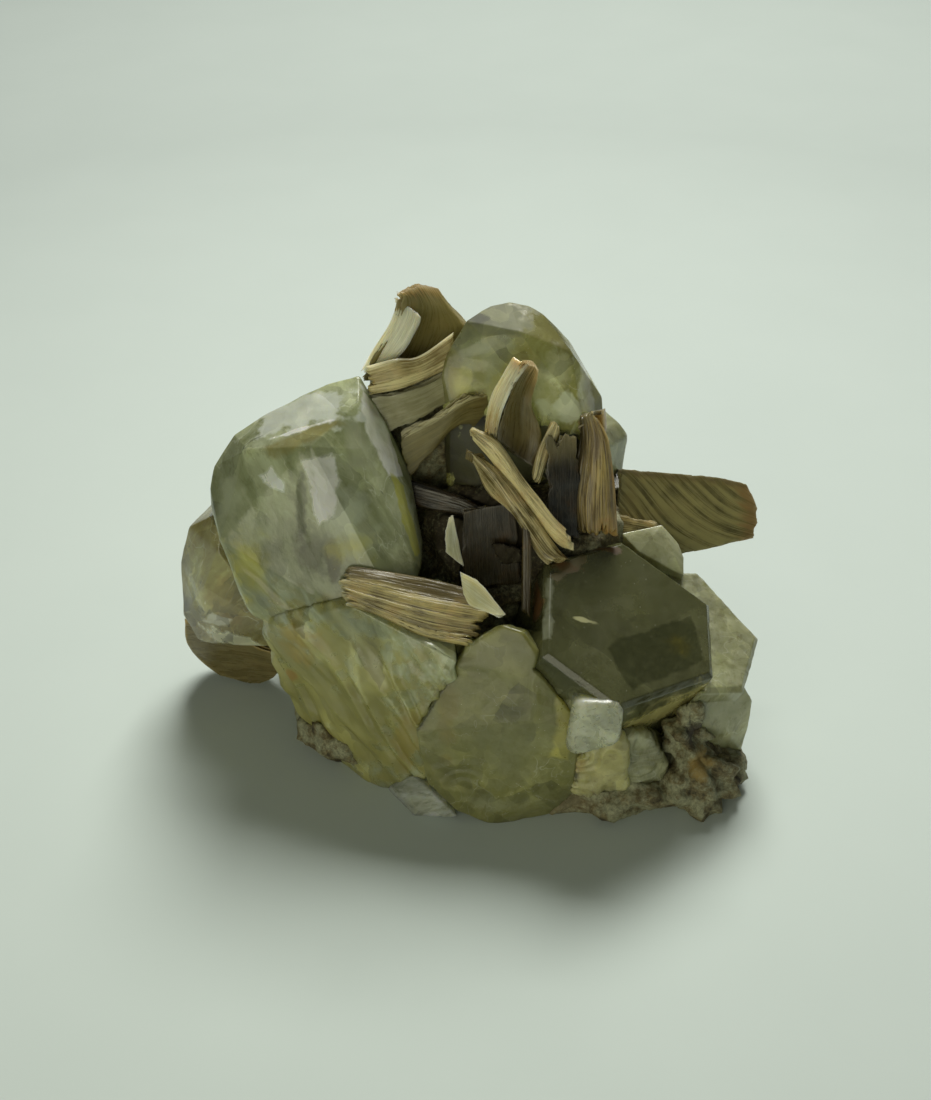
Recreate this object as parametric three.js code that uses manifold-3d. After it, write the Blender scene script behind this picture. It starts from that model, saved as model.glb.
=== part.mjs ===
// Aquamarine specimen: beryl crystals and muscovite mica blades on a lump of matrix.
// Millimetres, +Z up. The finished group is set so that its origin is the middle of its base.

import * as THREE from "three";
import { ConvexGeometry } from "three/addons/geometries/ConvexGeometry.js";
import { ImprovedNoise } from "three/addons/math/ImprovedNoise.js";
import { mergeVertices } from "three/addons/utils/BufferGeometryUtils.js";
import Module from "manifold-3d";

const wasm = await Module();
wasm.setup();

// Driving dimensions
const GRID = 1 / 256; // corners left by a cut are set to this grid
const GAP = 0.3; // clearance left between pieces that grew against each other
const FLOOR = 0; // the broken base of the specimen is flat at this height
const REACH = 100; // half-size of the block that trims everything below the base
const HEX_SIDES = 6;
const HEX_ANGLE = (2 * Math.PI) / HEX_SIDES;

// Materials

const beryl = (color, roughness) => new THREE.MeshStandardMaterial({ color, roughness, metalness: 0 });
const clearBeryl = beryl("#8f9a80", 0.12);
const paleBeryl = beryl("#9da285", 0.3);
const milkyBeryl = beryl("#8d8f68", 0.4);
const yellowBeryl = beryl("#9b9155", 0.4);
const mica = new THREE.MeshStandardMaterial({ color: "#8a7648", roughness: 0.35, metalness: 0.2 });
const darkMica = new THREE.MeshStandardMaterial({ color: "#4a3f26", roughness: 0.35, metalness: 0.2 });
const rock = new THREE.MeshStandardMaterial({ color: "#6b664b", roughness: 0.9, metalness: 0 });

// Solids: a form is a list of convex cells, and a cell is a list of its corner points.

const vector = (xyz) => new THREE.Vector3(...xyz);

function manifoldOf(geometry, tolerance = 1e-5) {
  geometry.deleteAttribute("normal");
  geometry.deleteAttribute("uv");
  const merged = mergeVertices(geometry, tolerance);
  return new wasm.Manifold(
    new wasm.Mesh({
      numProp: 3,
      vertProperties: merged.attributes.position.array,
      triVerts: new Uint32Array(merged.index.array),
    }),
  );
}

const cellSolid = (corners) => manifoldOf(new ConvexGeometry(corners));

const formSolid = (cells) => cells.map(cellSolid).reduce((sum, cell) => sum.add(cell));

// Every corner swapped for the eight corners of a small cube, so that each face moves out by the gap.
function grown(cells, gap) {
  const signs = [-gap, gap];
  const cube = signs.flatMap((x) => signs.flatMap((y) => signs.map((z) => new THREE.Vector3(x, y, z))));
  return cells.map((corners) => corners.flatMap((corner) => cube.map((shift) => corner.clone().add(shift))));
}

function geometryOf(solid) {
  const { vertProperties, triVerts } = solid.getMesh();
  const geometry = new THREE.BufferGeometry();
  geometry.setAttribute("position", new THREE.BufferAttribute(vertProperties, 3));
  geometry.setIndex(new THREE.BufferAttribute(triVerts, 1));
  return geometry.toNonIndexed();
}

const largestOf = (solid) =>
  solid.decompose().reduce((best, body) => (body.volume() > best.volume() ? body : best));

// The largest body left by a cut, with its corners on a fine grid so that no two of them all but touch.
function largestBody(solid) {
  const geometry = geometryOf(largestOf(solid));
  const place = geometry.attributes.position;
  for (let i = 0; i < place.array.length; i++) {
    place.array[i] = Math.round(place.array[i] / GRID) * GRID;
  }
  return largestOf(manifoldOf(geometry, GRID / 4));
}

// A hexagonal prism along axis from foot. apothems are its six face distances, the first at angle spin,
// and each crown step is [rise, inset]: how far it climbs and how far its faces draw in.
function hexPrism({ foot, axis, spin, apothems, length, crown }) {
  const up = vector(axis).normalize();
  const right = new THREE.Vector3(1, 0, 0).projectOnPlane(up).normalize();
  const back = up.clone().cross(right);
  const ring = (height, inset) =>
    apothems.map((apothem, i) => {
      const a = apothem - inset;
      const b = apothems[(i + 1) % HEX_SIDES] - inset;
      const angle = spin + i * HEX_ANGLE;
      const along = (b - a * Math.cos(HEX_ANGLE)) / Math.sin(HEX_ANGLE);
      return vector(foot)
        .addScaledVector(up, height)
        .addScaledVector(right, a * Math.cos(angle) - along * Math.sin(angle))
        .addScaledVector(back, a * Math.sin(angle) + along * Math.cos(angle));
    });
  const shoulder = length - crown.reduce((sum, [rise]) => sum + rise, 0);
  const rings = [ring(0, 0), ring(shoulder, 0)];
  let height = shoulder;
  let inset = 0;
  for (const [rise, drawIn] of crown) {
    height += rise;
    inset += drawIn;
    rings.push(ring(height, inset));
  }
  return [rings.flat()];
}

// A crystal given by its own corners.
const cornered = (corners) => [corners.map(vector)];

// A flat mica blade from root to tip. across is the direction of its width, which runs from root to tip.
function blade({ root, tip, across, width, thickness }) {
  const run = vector(tip).sub(vector(root));
  const side = vector(across).normalize();
  const normal = run.clone().cross(side).normalize();
  const corners = [vector(root), vector(tip)].flatMap((end, i) =>
    [-0.5, 0.5].flatMap((half) =>
      [-0.5, 0.5].map((lift) =>
        end.clone().addScaledVector(side, half * width[i]).addScaledVector(normal, lift * thickness),
      ),
    ),
  );
  return [corners];
}

// A curled sheet. net holds rows of points on its face, and its back lies a thickness behind them.
function sheet({ net, thickness }) {
  const points = net.map((row) => row.map(vector));
  const rows = net.length - 1;
  const columns = net[0].length - 1;
  const at = (i, j) => points[THREE.MathUtils.clamp(i, 0, rows)][THREE.MathUtils.clamp(j, 0, columns)];
  const backOf = (i, j) => {
    const along = at(i + 1, j).clone().sub(at(i - 1, j));
    const wide = at(i, j + 1).clone().sub(at(i, j - 1));
    return at(i, j).clone().addScaledVector(along.cross(wide).normalize(), -thickness);
  };
  const cells = [];
  for (let i = 0; i < rows; i++) {
    for (let j = 0; j < columns; j++) {
      const ends = [
        [i, j],
        [i + 1, j],
        [i, j + 1],
        [i + 1, j + 1],
      ];
      cells.push(ends.flatMap(([a, b]) => [at(a, b), backOf(a, b)]));
    }
  }
  return cells;
}

// Beryl crystals

// The big left crystal is one growth: a clear stubby prism that turns into its own milky yellow root.
const LARGE_CLEAR_PART = [
  [-20.5, -1, 32.6],
  [-14.3, -3, 34.2],
  [-9.8, -2.2, 33.4],
  [-4.5, -7, 22.4],
  [-6.2, -10, 19.5],
  [-12, -9.5, 20],
  [-20.1, -6, 15.9],
  [-23.5, -4, 24.2],
  [-24.5, -1, 26],
  [-24.6, 0, 27.6],
  [-24.2, 1, 29.3],
  [-22.1, 2, 32.2],
  [-19.2, 3, 33.8],
  [-15.4, 4, 35.4],
  [-13.1, 4, 36.6],
  [-10.2, 4, 37.5],
  [-10.1, 1, 36.4],
  [-7.8, 2, 33.6],
  [-6.5, 2, 30.4],
  [-5.5, 1, 28],
  [-4.1, -4, 22],
  [-21, 7.5, 28],
  [-12, 9.5, 32],
  [-6, 7, 26],
  [-21, 5, 17],
  [-8, 8, 14],
  [-17, 3, 8],
];
const LARGE_MILKY_PART = [
  [-20.1, -6, 15.9],
  [-19.2, -5.2, 11.3],
  [-18.2, -5.6, 6.4],
  [-15.5, -7.6, 1.9],
  [-13.6, -8.2, 0],
  [-9.9, -11.8, 0],
  [-7.4, -13, 0],
  [-3.6, -15.6, 4],
  [-4.4, -15.4, 10],
  [-1, -14.8, 18.2],
  [-6, -12.6, 20],
  [-11.8, -10.2, 21.8],
  [-16, -9.4, 17],
  [-2, -6, 21],
  [-15, 3, 3],
  [-4, 0, 0],
  [-2, -4, 8],
];

const FRONT_CORNERS = [
  [3.5, -13.2, 20.9],
  [5.2, -13.8, 20.7],
  [0.3, -13.4, 18.8],
  [-0.7, -14.2, 16.9],
  [-4.4, -15.8, 10.4],
  [-4.2, -16.2, 8],
  [-3.4, -16.4, 3.9],
  [-0.7, -17.4, 1.2],
  [2.2, -17.9, 0.2],
  [3.2, -17.9, 0],
  [8.1, -17, 0.4],
  [10.6, -16.6, 3.2],
  [10.2, -17.4, 5.4],
  [10.5, -17.4, 12.2],
  [10.9, -16.4, 14],
  [7.3, -15.4, 17.8],
  [6, -17.2, 13],
  [6, -8, 16],
  [-1, -8, 14],
  [9, -9, 2],
  [-1, -9, 1],
];

const LEFT_CORNERS = [
  [-24, 1, 24],
  [-27.9, 3, 20.5],
  [-29.4, 3.4, 15.8],
  [-29.8, 3, 9.2],
  [-28.4, 2, 6.6],
  [-25.9, 0, 7.8],
  [-20.4, -2.4, 9.6],
  [-19.6, -3.6, 13],
  [-24.6, -1, 20.6],
  [-26.4, -0.8, 16],
  [-25, 7, 22],
  [-28.4, 8, 16],
  [-27, 8.4, 9],
  [-20, 8, 10],
  [-18, 6, 18],
];

// The crystal at the top tapers to a rounded crown. Its corners run from the crown down to the root.
const TOP_CORNERS = [
  [0.2, 6, 42.4],
  [2.5, 8, 42.9],
  [4.2, 8.5, 43],
  [6, 8.5, 42.6],
  [7.3, 8, 42],
  [8.7, 7.5, 40.8],
  [9.8, 7, 39.7],
  [10.7, 6.5, 38.1],
  [13.1, 5.5, 34.4],
  [13.2, 5, 33.1],
  [1.8, 4.5, 41.6],
  [5, 4.1, 42.3],
  [7.6, 4.4, 41.1],
  [9.8, 4.5, 40],
  [11, 2.5, 34.7],
  [-1.7, 5, 39.2],
  [-2.1, 4.5, 37.7],
  [-1.4, 3.5, 35.1],
  [2, 12.5, 40],
  [8, 12.5, 38],
  [12.5, 10.5, 32],
  [0, 12.5, 33],
  [-1.5, 2.2, 18],
  [4, 0.6, 18],
  [11, 1.6, 18],
  [12.5, 9, 18],
  [0, 11, 18],
  [8, 12, 18],
];

// The crystal at the right stands on a short fibrous root of its own.
const RIGHT_BACK_ROOT_CORNERS = [
  [23.1, -12.5, 12.4],
  [27, -11.6, 11.8],
  [27.9, -11.4, 10],
  [28, -11.2, 6.6],
  [27.7, -11, 3.2],
  [24.7, -12.2, 4.6],
  [22.8, -12.7, 9.6],
  [20, -5, 11],
  [26, -6, 11],
  [26, -6, 3],
  [20, -6, 3],
];

const SMALL_UPPER_CORNERS = [
  [15.9, 1.2, 21],
  [19.7, 2, 21.4],
  [21.3, 1, 19.9],
  [21.8, 0, 19],
  [21.6, -2, 18.4],
  [17.4, -0.6, 20.2],
  [16, 5, 17],
  [22, 4, 16],
  [21, -1, 13],
  [16, 0, 14],
];

const SMALL_WHITE_CORNERS = [
  [10.3, -18.9, 16.4],
  [13.8, -19.3, 16.5],
  [13.9, -18.8, 11.9],
  [10, -18.2, 10.1],
  [11, -13, 15],
  [13.4, -13, 14],
  [12, -13, 10.4],
];

const SMALL_YELLOW_CORNERS = [
  [9.6, -16.8, 9.5],
  [14.6, -17.2, 10.7],
  [15.4, -16.6, 3.9],
  [12.2, -16.8, 2.9],
  [10.2, -16.8, 3.5],
  [10, -11, 9],
  [15, -11, 9],
  [12, -11, 3.4],
];

const SMALL_GREY_CORNERS = [
  [14, -16.4, 10.3],
  [17.2, -15.6, 9.5],
  [19.4, -15, 4.8],
  [18.1, -15.4, 1.9],
  [16.3, -15.8, 1.9],
  [14.6, -16.2, 2.3],
  [15, -11, 8],
  [19, -11, 5],
  [16, -11, 2],
];

const GLASSY_CORNERS = [
  [-7.2, -12.8, 1.4],
  [-7.6, -13.6, 0],
  [-5, -17, 0],
  [-1, -17.6, 0.4],
  [-3.5, -16.8, 3.1],
  [-5.4, -14.8, 3.7],
  [-2, -13, 3],
  [-3, -11, 0],
];

// Matrix: lumps with rough skin, given as [centre, radii]. They overlap and are joined in one.
const LUMPS = [
  [[5, -1, 6], [19, 13.5, 9]],
  [[22.8, -12.6, 2.2], [4.4, 4.8, 3.4]],
  [[21.8, -13, 7], [1.6, 1.5, 3.6]],
  [[14, -12, 1.5], [9, 5.8, 2.8]],
  [[-8, -4, 2.5], [9.5, 7.5, 4.5]],
  [[8, 8, 13], [13, 8.5, 12]],
  [[-7, 8, 12], [12, 7.5, 11]],
  [[-4, 8, 27], [6, 3.6, 10.5]],
  [[5, 2, 19], [10, 7, 8]],
];
const LUMP_STEPS = [27, 16];
const ROUGHNESS = 0.9; // millimetres that the skin of a lump rises and falls
const COARSE = 0.3; // ridges per millimetre
const FINE = 0.8;

const noise = new ImprovedNoise();

// Sharp ridges between rounded hollows, from -1 to 1.
const ridges = (where, pitch) => 1 - 4 * Math.abs(noise.noise(...where.clone().multiplyScalar(pitch)));

function lump([centre, radii]) {
  const geometry = new THREE.SphereGeometry(1, ...LUMP_STEPS);
  geometry.rotateX(Math.PI / 2);
  const place = geometry.attributes.position;
  for (let i = 0; i < place.count; i++) {
    const out = new THREE.Vector3().fromBufferAttribute(place, i);
    const where = out.clone().multiply(vector(radii)).add(vector(centre));
    const rise = ROUGHNESS * (ridges(where, COARSE) + 0.5 * ridges(where, FINE));
    where.addScaledVector(out, rise);
    place.setXYZ(i, where.x, where.y, where.z);
  }
  return manifoldOf(geometry);
}

// Crystals in the order in which they keep their form: each is cut by those before it.
const CRYSTALS = [
  { name: "small_white_beryl", material: paleBeryl, cells: cornered(SMALL_WHITE_CORNERS) },
  {
    name: "right_beryl",
    material: clearBeryl,
    cells: hexPrism({
      foot: [10.7, -5.6, 4.5],
      axis: [0.29, -0.31, 0.906],
      spin: THREE.MathUtils.degToRad(-3),
      apothems: [8.6, 8.1, 8.5, 8.2, 8.5, 7.4],
      length: 16,
      crown: [[0.4, 0.4]],
    }),
  },
  { name: "front_beryl", material: milkyBeryl, cells: cornered(FRONT_CORNERS) },
  {
    name: "large_beryl",
    material: clearBeryl,
    cells: [LARGE_CLEAR_PART, LARGE_MILKY_PART].flatMap(cornered),
  },
  {
    name: "right_back_beryl",
    material: paleBeryl,
    cells: [
      ...hexPrism({
        foot: [19.4, -4.8, 3.4],
        axis: [0.24, -0.31, 0.906],
        spin: THREE.MathUtils.degToRad(-20),
        apothems: [5.7, 6.4, 8.4, 6, 6.6, 5],
        length: 12.5,
        crown: [[0.4, 0.4]],
      }),
      ...cornered(RIGHT_BACK_ROOT_CORNERS),
    ],
  },
  { name: "top_beryl", material: clearBeryl, cells: cornered(TOP_CORNERS) },
  {
    name: "top_back_beryl",
    material: paleBeryl,
    cells: hexPrism({
      foot: [11, 9.6, 14],
      axis: [0.1, 0.12, 0.98],
      spin: THREE.MathUtils.degToRad(24),
      apothems: [3.8, 4, 3.8, 4.2, 3.8, 3.8],
      length: 14.5,
      crown: [[1.2, 1]],
    }),
  },
  { name: "left_beryl", material: paleBeryl, cells: cornered(LEFT_CORNERS) },
  { name: "small_upper_beryl", material: paleBeryl, cells: cornered(SMALL_UPPER_CORNERS) },
  { name: "small_yellow_beryl", material: yellowBeryl, cells: cornered(SMALL_YELLOW_CORNERS) },
  { name: "small_grey_beryl", material: paleBeryl, cells: cornered(SMALL_GREY_CORNERS) },
  { name: "small_glassy_beryl", material: clearBeryl, cells: cornered(GLASSY_CORNERS) },
];

// Mica blades and books that curl or lean, each given by a net of points on its face: the rows run along it.
const SHEETS = [
  {
    name: "mica_front_book",
    thickness: 2.2,
    net: [
      [[-11.1, -11.2, 22.3], [-12, -9.6, 23.5], [-11.1, -8.2, 24.5]],
      [[-7.7, -12, 21], [-7.5, -10.6, 22.7], [-6.6, -8.6, 24]],
      [[-3.9, -13.4, 20], [-2.8, -11.6, 22], [-1.9, -9.4, 23.5]],
      [[0.4, -14.2, 19.6], [2.5, -12.2, 21.3], [2.6, -10.6, 22.8]],
    ],
  },
  {
    name: "mica_upper_diagonal",
    thickness: 1.2,
    net: [
      [[0.3, -1, 33.9], [0.3, -1.2, 34.8], [0.6, -0.6, 35.1]],
      [[3.1, -2.2, 31.6], [2.9, -2.4, 33.1], [3.2, -1.6, 33.9]],
      [[6, -3.6, 28.2], [5.6, -3.8, 29.6], [5.8, -3, 30.5]],
      [[8.6, -4.8, 24.8], [7.8, -4.8, 27], [8, -4, 27.7]],
      [[10.3, -5.6, 23.8], [10, -5.6, 25], [9.9, -5, 25.9]],
    ],
  },
  {
    name: "mica_lower_diagonal",
    thickness: 1.2,
    net: [
      [[0.5, -1.8, 32.1], [0.3, -2.2, 33.2], [0.2, -1.6, 33.4]],
      [[2, -2.8, 28.7], [2.7, -3.6, 31], [3.1, -3, 31.1]],
      [[4.4, -4.6, 27.6], [5.1, -5.2, 27.9], [6, -4.4, 27.8]],
      [[6.5, -5.8, 24.2], [7.4, -6.2, 24.5], [8.5, -5.6, 24.3]],
      [[7.8, -6.4, 22.8], [8.8, -6.6, 23.6], [10.2, -6.2, 23.5]],
    ],
  },
  {
    name: "mica_upright_curl",
    thickness: 0.8,
    net: [
      [[6.6, -0.4, 30], [4.8, -0.2, 31.5], [2.8, -1.8, 34.4], [1.7, -1.2, 34.5]],
      [[7.3, 0.6, 31.9], [5.2, 0.6, 33], [3.2, -1.4, 36.5], [1.9, -0.6, 36.4]],
      [[7.2, 1.2, 33.6], [5.3, 1.2, 35.6], [3.9, -1, 38.4], [2.4, -0.2, 38.3]],
      [[6.3, 1.6, 36.1], [5.6, 1.2, 37.8], [4.7, -0.8, 40.1], [3.3, 0.2, 39.9]],
      [[6.9, 0.8, 39.9], [6.5, 0.4, 40.7], [5.7, -0.4, 41.6], [4.4, 1, 41.7]],
    ],
  },
  {
    name: "mica_thin_edge",
    thickness: 0.8,
    net: [
      [[8.5, 0.6, 34.8], [8.9, 0.9, 34.2]],
      [[7.7, 0, 33.6], [9, 0.6, 33]],
      [[7.1, -0.8, 32.2], [8.2, 0, 31.4]],
      [[6.5, -2, 29.6], [7.1, -1.6, 28.8]],
    ],
  },
  {
    name: "mica_rust_book",
    thickness: 2.4,
    net: [
      [[10.8, 2.2, 34.8], [11.5, 1.6, 35.2], [12, 1.2, 35.5], [12.6, 1.6, 34.7]],
      [[10.6, 1.2, 32.5], [11.9, 0.6, 33], [12.9, 0.2, 33.3], [13.6, 0.8, 32.8]],
      [[10.2, 0.2, 29.7], [11.8, -0.6, 30.2], [13.3, -0.8, 30.2], [14.4, -0.2, 29.8]],
      [[10, -1, 26.4], [11.6, -1.8, 27], [13.5, -2, 27.1], [14.8, -1.2, 26.6]],
      [[10.5, -2.2, 23.5], [11.8, -3, 23.8], [13.5, -3.2, 23.6], [15.1, -2.4, 23.2]],
    ],
  },
  {
    name: "mica_broad_blade",
    thickness: 1.2,
    net: [
      [[-5.6, 1.2, 27.8], [-6.1, 1.5, 30.4], [-6.3, 1.8, 32.5]],
      [[-3.1, 1.7, 30.6], [-2.6, 1.8, 32.5], [-2.6, 1.9, 34.6]],
      [[-0.9, 2.4, 32.7], [-0.2, 2.4, 34.3], [0.1, 2.3, 36.3]],
      [[1.9, 3, 32.7], [2.1, 3, 34.7], [2.2, 3, 36.5]],
    ],
  },
  {
    name: "mica_grey_plate",
    thickness: 1.3,
    net: [
      [[-7.6, 2, 32.4], [-9.2, 3, 35.9]],
      [[-4.4, 2.8, 33.6], [-5.3, 3.4, 36.4]],
      [[-0.6, 4.2, 35.2], [-1.2, 4.8, 37.8]],
    ],
  },
  {
    name: "mica_ragged_plate",
    thickness: 1.1,
    net: [
      [[-9.2, 2.8, 36.2], [-9.6, 3.4, 38.9]],
      [[-6.1, 3.2, 36.7], [-6.6, 3.8, 39.6]],
      [[-3.7, 4, 37.3], [-4.3, 4.6, 39.5]],
      [[-1.2, 4.8, 38.2], [-1, 5.8, 41.4]],
    ],
  },
  {
    name: "mica_curled_blade",
    thickness: 0.8,
    net: [
      [[-8.1, 4.8, 37.6], [-10.3, 5.2, 37], [-6.9, 8.6, 35.1], [-2.5, 9.6, 36.1]],
      [[-6, 4.8, 39.7], [-8.9, 5.2, 39.7], [-5.2, 9, 38], [-0.9, 10, 38.5]],
      [[-4.9, 5.2, 41.4], [-7.2, 5.8, 42.3], [-4.4, 9.4, 40.1], [0.2, 10, 40]],
      [[-4.2, 6, 42.8], [-6.5, 6.6, 44.1], [-3.9, 9, 42.6], [-1.4, 9.8, 42.2]],
      [[-5, 6.6, 43.5], [-6.6, 7.2, 44.6], [-4.9, 8.4, 45.2], [-3, 9.4, 44.3]],
    ],
  },
  {
    name: "mica_dark_stack",
    thickness: 1.2,
    net: [
      [[-5.9, 0.2, 25.6], [-6.5, 1.4, 27.8]],
      [[-3.4, -0.6, 25.3], [-3.1, 0.6, 27.3]],
      [[-0.7, -1.2, 25.2], [0, -0.4, 26.6]],
      [[2.9, -2.4, 24.7], [2.9, -1.6, 25.6]],
    ],
  },
  {
    name: "mica_upper_flake",
    thickness: 0.4,
    net: [
      [[-1.6, -5.2, 27.8], [-1.2, -5.2, 28.1]],
      [[-1.9, -6.2, 26.2], [-0.6, -6.2, 25.4]],
      [[-1.8, -7, 24.9], [-0.1, -7.4, 23.5]],
    ],
  },
  {
    name: "mica_thin_upright",
    thickness: 0.7,
    net: [
      [[5.4, -5.4, 27.4], [6.1, -5.6, 26.9]],
      [[5.3, -7.6, 23.3], [6.2, -7.4, 24]],
      [[5.3, -9.6, 19.9], [6.1, -10, 19.4]],
    ],
  },
];

// Flat mica blades
const BLADES = [
  {
    name: "mica_dark_plate",
    root: [9.6, -2.6, 23.4],
    tip: [9.2, 0.6, 33.6],
    across: [1, 0.2, 0],
    width: [3.4, 3.4],
    thickness: 0.7,
  },
  {
    name: "mica_pocket_plate",
    root: [2.6, -4.4, 19],
    tip: [2.2, -2.2, 27],
    across: [1, 0.1, 0.1],
    width: [6, 5],
    thickness: 0.8,
  },
  {
    name: "mica_right_upper_plate",
    root: [15, 8, 23.2],
    tip: [23.4, 8.8, 22.6],
    across: [0, 0.9, 0.3],
    width: [3, 1.2],
    thickness: 0.5,
  },
  {
    name: "mica_right_lower_plate",
    root: [14.6, 2.8, 20.4],
    tip: [19.4, 3, 19.6],
    across: [0.2, 0.5, 0.8],
    width: [3.6, 2.8],
    thickness: 0.8,
  },
];

// Plates given by the outline of their front face and by the way down to their back face
const PLATES = [
  {
    name: "mica_left_book",
    outline: [
      [-30, 3.2, 8.4],
      [-30.2, 3.2, 5.6],
      [-29.2, 3.2, 2.8],
      [-27, 2.6, 0.9],
      [-24, 1.8, 0.4],
      [-22.6, 1.2, 0.8],
      [-20.4, 0.4, 2.4],
      [-20.2, 0.2, 6],
    ],
    depth: [1.2, 3.4, 0.6],
  },
  {
    name: "mica_lower_flake",
    outline: [
      [-0.5, -10.6, 25.5],
      [1, -11, 24.9],
      [3.8, -12.6, 22],
      [3.2, -13.2, 22.3],
      [0.3, -12.8, 23.2],
      [-0.2, -12, 23.8],
    ],
    depth: [-0.1, 0.2, -0.4],
  },
  {
    name: "mica_right_fan",
    outline: [
      [15.8, 7.3, 25],
      [27, 8.9, 22.9],
      [29.6, 8.8, 21.9],
      [30.7, 7.4, 19.6],
      [30.3, 5.8, 17.4],
      [29.3, 5.3, 17.1],
      [22.5, 3.4, 17],
      [17.9, 2.2, 17.1],
      [15.6, 3.6, 19.9],
    ],
    depth: [-0.2, 0.8, -0.6],
  },
];

const plate = ({ outline, depth }) => [
  outline.map(vector).flatMap((corner) => [corner, corner.clone().add(vector(depth))]),
];

const darkNames = ["mica_left_book", "mica_dark_plate", "mica_dark_stack", "mica_pocket_plate"];
// Each mica piece is cut by the crystals and by the mica before it.
const MICA = [
  ...PLATES.map((form) => ({ name: form.name, cells: plate(form) })),
  ...SHEETS.map((form) => ({ name: form.name, cells: sheet(form) })),
  ...BLADES.map((form) => ({ name: form.name, cells: blade(form) })),
].map((piece) => ({ ...piece, material: darkNames.includes(piece.name) ? darkMica : mica }));

// Cutting and placing

const trimBlock = manifoldOf(
  new THREE.BoxGeometry(2 * REACH, 2 * REACH, REACH).translate(0, 0, FLOOR - REACH / 2),
);

const pieces = [];
let taken = trimBlock;
for (const { name, material, cells } of [...CRYSTALS, ...MICA]) {
  pieces.push({ name, material, solid: largestBody(formSolid(cells).subtract(taken)) });
  taken = taken.add(formSolid(grown(cells, GAP)));
}
const rockSolid = LUMPS.map(lump).reduce((sum, body) => sum.add(body));
pieces.push({ name: "matrix", material: rock, solid: largestBody(rockSolid.subtract(taken)) });

function meshOf({ name, material, solid }) {
  const mesh = new THREE.Mesh(geometryOf(solid), material);
  mesh.geometry.computeVertexNormals();
  mesh.name = name;
  return mesh;
}

const specimen = new THREE.Group();
specimen.name = "aquamarine_specimen";
specimen.add(...pieces.map(meshOf));

const box = new THREE.Box3().setFromObject(specimen);
const middle = box.getCenter(new THREE.Vector3());
specimen.position.set(-middle.x, -middle.y, -box.min.z);

export default specimen;
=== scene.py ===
import math

import bmesh
import bpy
import numpy as np
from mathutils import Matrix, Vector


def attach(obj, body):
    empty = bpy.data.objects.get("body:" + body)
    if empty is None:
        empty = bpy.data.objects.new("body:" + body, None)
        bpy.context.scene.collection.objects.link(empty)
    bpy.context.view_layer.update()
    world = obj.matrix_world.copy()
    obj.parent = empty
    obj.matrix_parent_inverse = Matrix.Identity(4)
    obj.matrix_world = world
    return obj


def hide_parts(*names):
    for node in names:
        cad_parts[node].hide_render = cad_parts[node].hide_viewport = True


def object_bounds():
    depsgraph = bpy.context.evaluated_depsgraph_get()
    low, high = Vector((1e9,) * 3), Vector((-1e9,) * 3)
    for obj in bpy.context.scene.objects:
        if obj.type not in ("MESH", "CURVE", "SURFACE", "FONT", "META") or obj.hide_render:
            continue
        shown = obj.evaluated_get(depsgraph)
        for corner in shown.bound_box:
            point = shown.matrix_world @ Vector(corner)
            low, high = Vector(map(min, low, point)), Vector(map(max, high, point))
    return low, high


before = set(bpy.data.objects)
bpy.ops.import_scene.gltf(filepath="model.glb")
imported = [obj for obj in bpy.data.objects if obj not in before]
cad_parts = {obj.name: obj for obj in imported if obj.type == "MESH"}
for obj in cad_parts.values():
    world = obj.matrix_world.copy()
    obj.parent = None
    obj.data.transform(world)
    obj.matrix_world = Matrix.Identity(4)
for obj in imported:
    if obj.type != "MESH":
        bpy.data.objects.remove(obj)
cad_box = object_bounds()
scene = bpy.context.scene


# ---------------------------------------------------------------- room
# A pale matt floor whose paint darkens away from the middle: painted falloff of the light. A wide soft light above
# and behind, a weaker one low in front, and a faint sky. The camera stands in front and looks down.

MM = 0.001  # every place and length in this file is in millimetres
CAMERA_AT = (-0.25, -116.493, 108.2)
CAMERA_TILT = math.atan2(0.8, 0.6)
FLOOR_HALF = 2000.0
FLOOR_TINTS = (0.55, 0.62, 0.58), (0.58, 0.65, 0.61)
FLOOR_PAINTED_FALLOFF = 40.0, 170.0, 1.0, 0.70  # where it starts and ends, and the brightness there
SKY_TINT = (0.88, 0.95, 0.90, 1)
SKY_STRENGTH = 0.07

scene.view_settings.view_transform = "Standard"

camera = bpy.data.objects.new("camera", bpy.data.cameras.new("camera"))
camera.location = [MM * v for v in CAMERA_AT]
camera.rotation_euler = (CAMERA_TILT, 0, 0)
camera.data.lens = 48.0
camera.data.sensor_width = 36
camera.data.clip_start = 10 * MM
scene.collection.objects.link(camera)
scene.camera = camera


def new_object(name, points, faces):
    """A smooth mesh object at the origin from arrays of corner places in millimetres and of faces."""
    mesh = bpy.data.meshes.new(name)
    mesh.from_pydata((np.asarray(points) * MM).tolist(), [], np.asarray(faces).tolist())
    mesh.shade_smooth()
    made = bpy.data.objects.new(name, mesh)
    scene.collection.objects.link(made)
    return made


def add(tree, kind, *values, **given):
    """A shader node. values fill its first sockets in order. given holds more sockets, which have capitals, and
    the node's own settings, which have none. What fills a socket is a value or another node's output."""
    made = tree.nodes.new("ShaderNode" + kind)
    for key in [key for key in given if key.islower()]:
        setattr(made, key, given.pop(key))
    for key, value in [*enumerate(values), *given.items()]:
        socket = made.inputs[key.replace("_", " ") if isinstance(key, str) else key]
        if isinstance(value, bpy.types.NodeSocket):
            tree.links.new(value, socket)
        else:
            socket.default_value = value
    return made


def vector(tree, operation, *values, **sockets):
    """The result of a vector operation: a number for a length or a dot product, else a vector."""
    made = add(tree, "VectorMath", *values, operation=operation, **sockets)
    return made.outputs["Value" if operation in ("LENGTH", "DOT_PRODUCT") else "Vector"]


def noise(tree, place, **sockets):
    """Fractal noise from 0 to 1 at a place."""
    return add(tree, "TexNoise", Vector=place, **sockets).outputs["Fac"]


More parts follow.
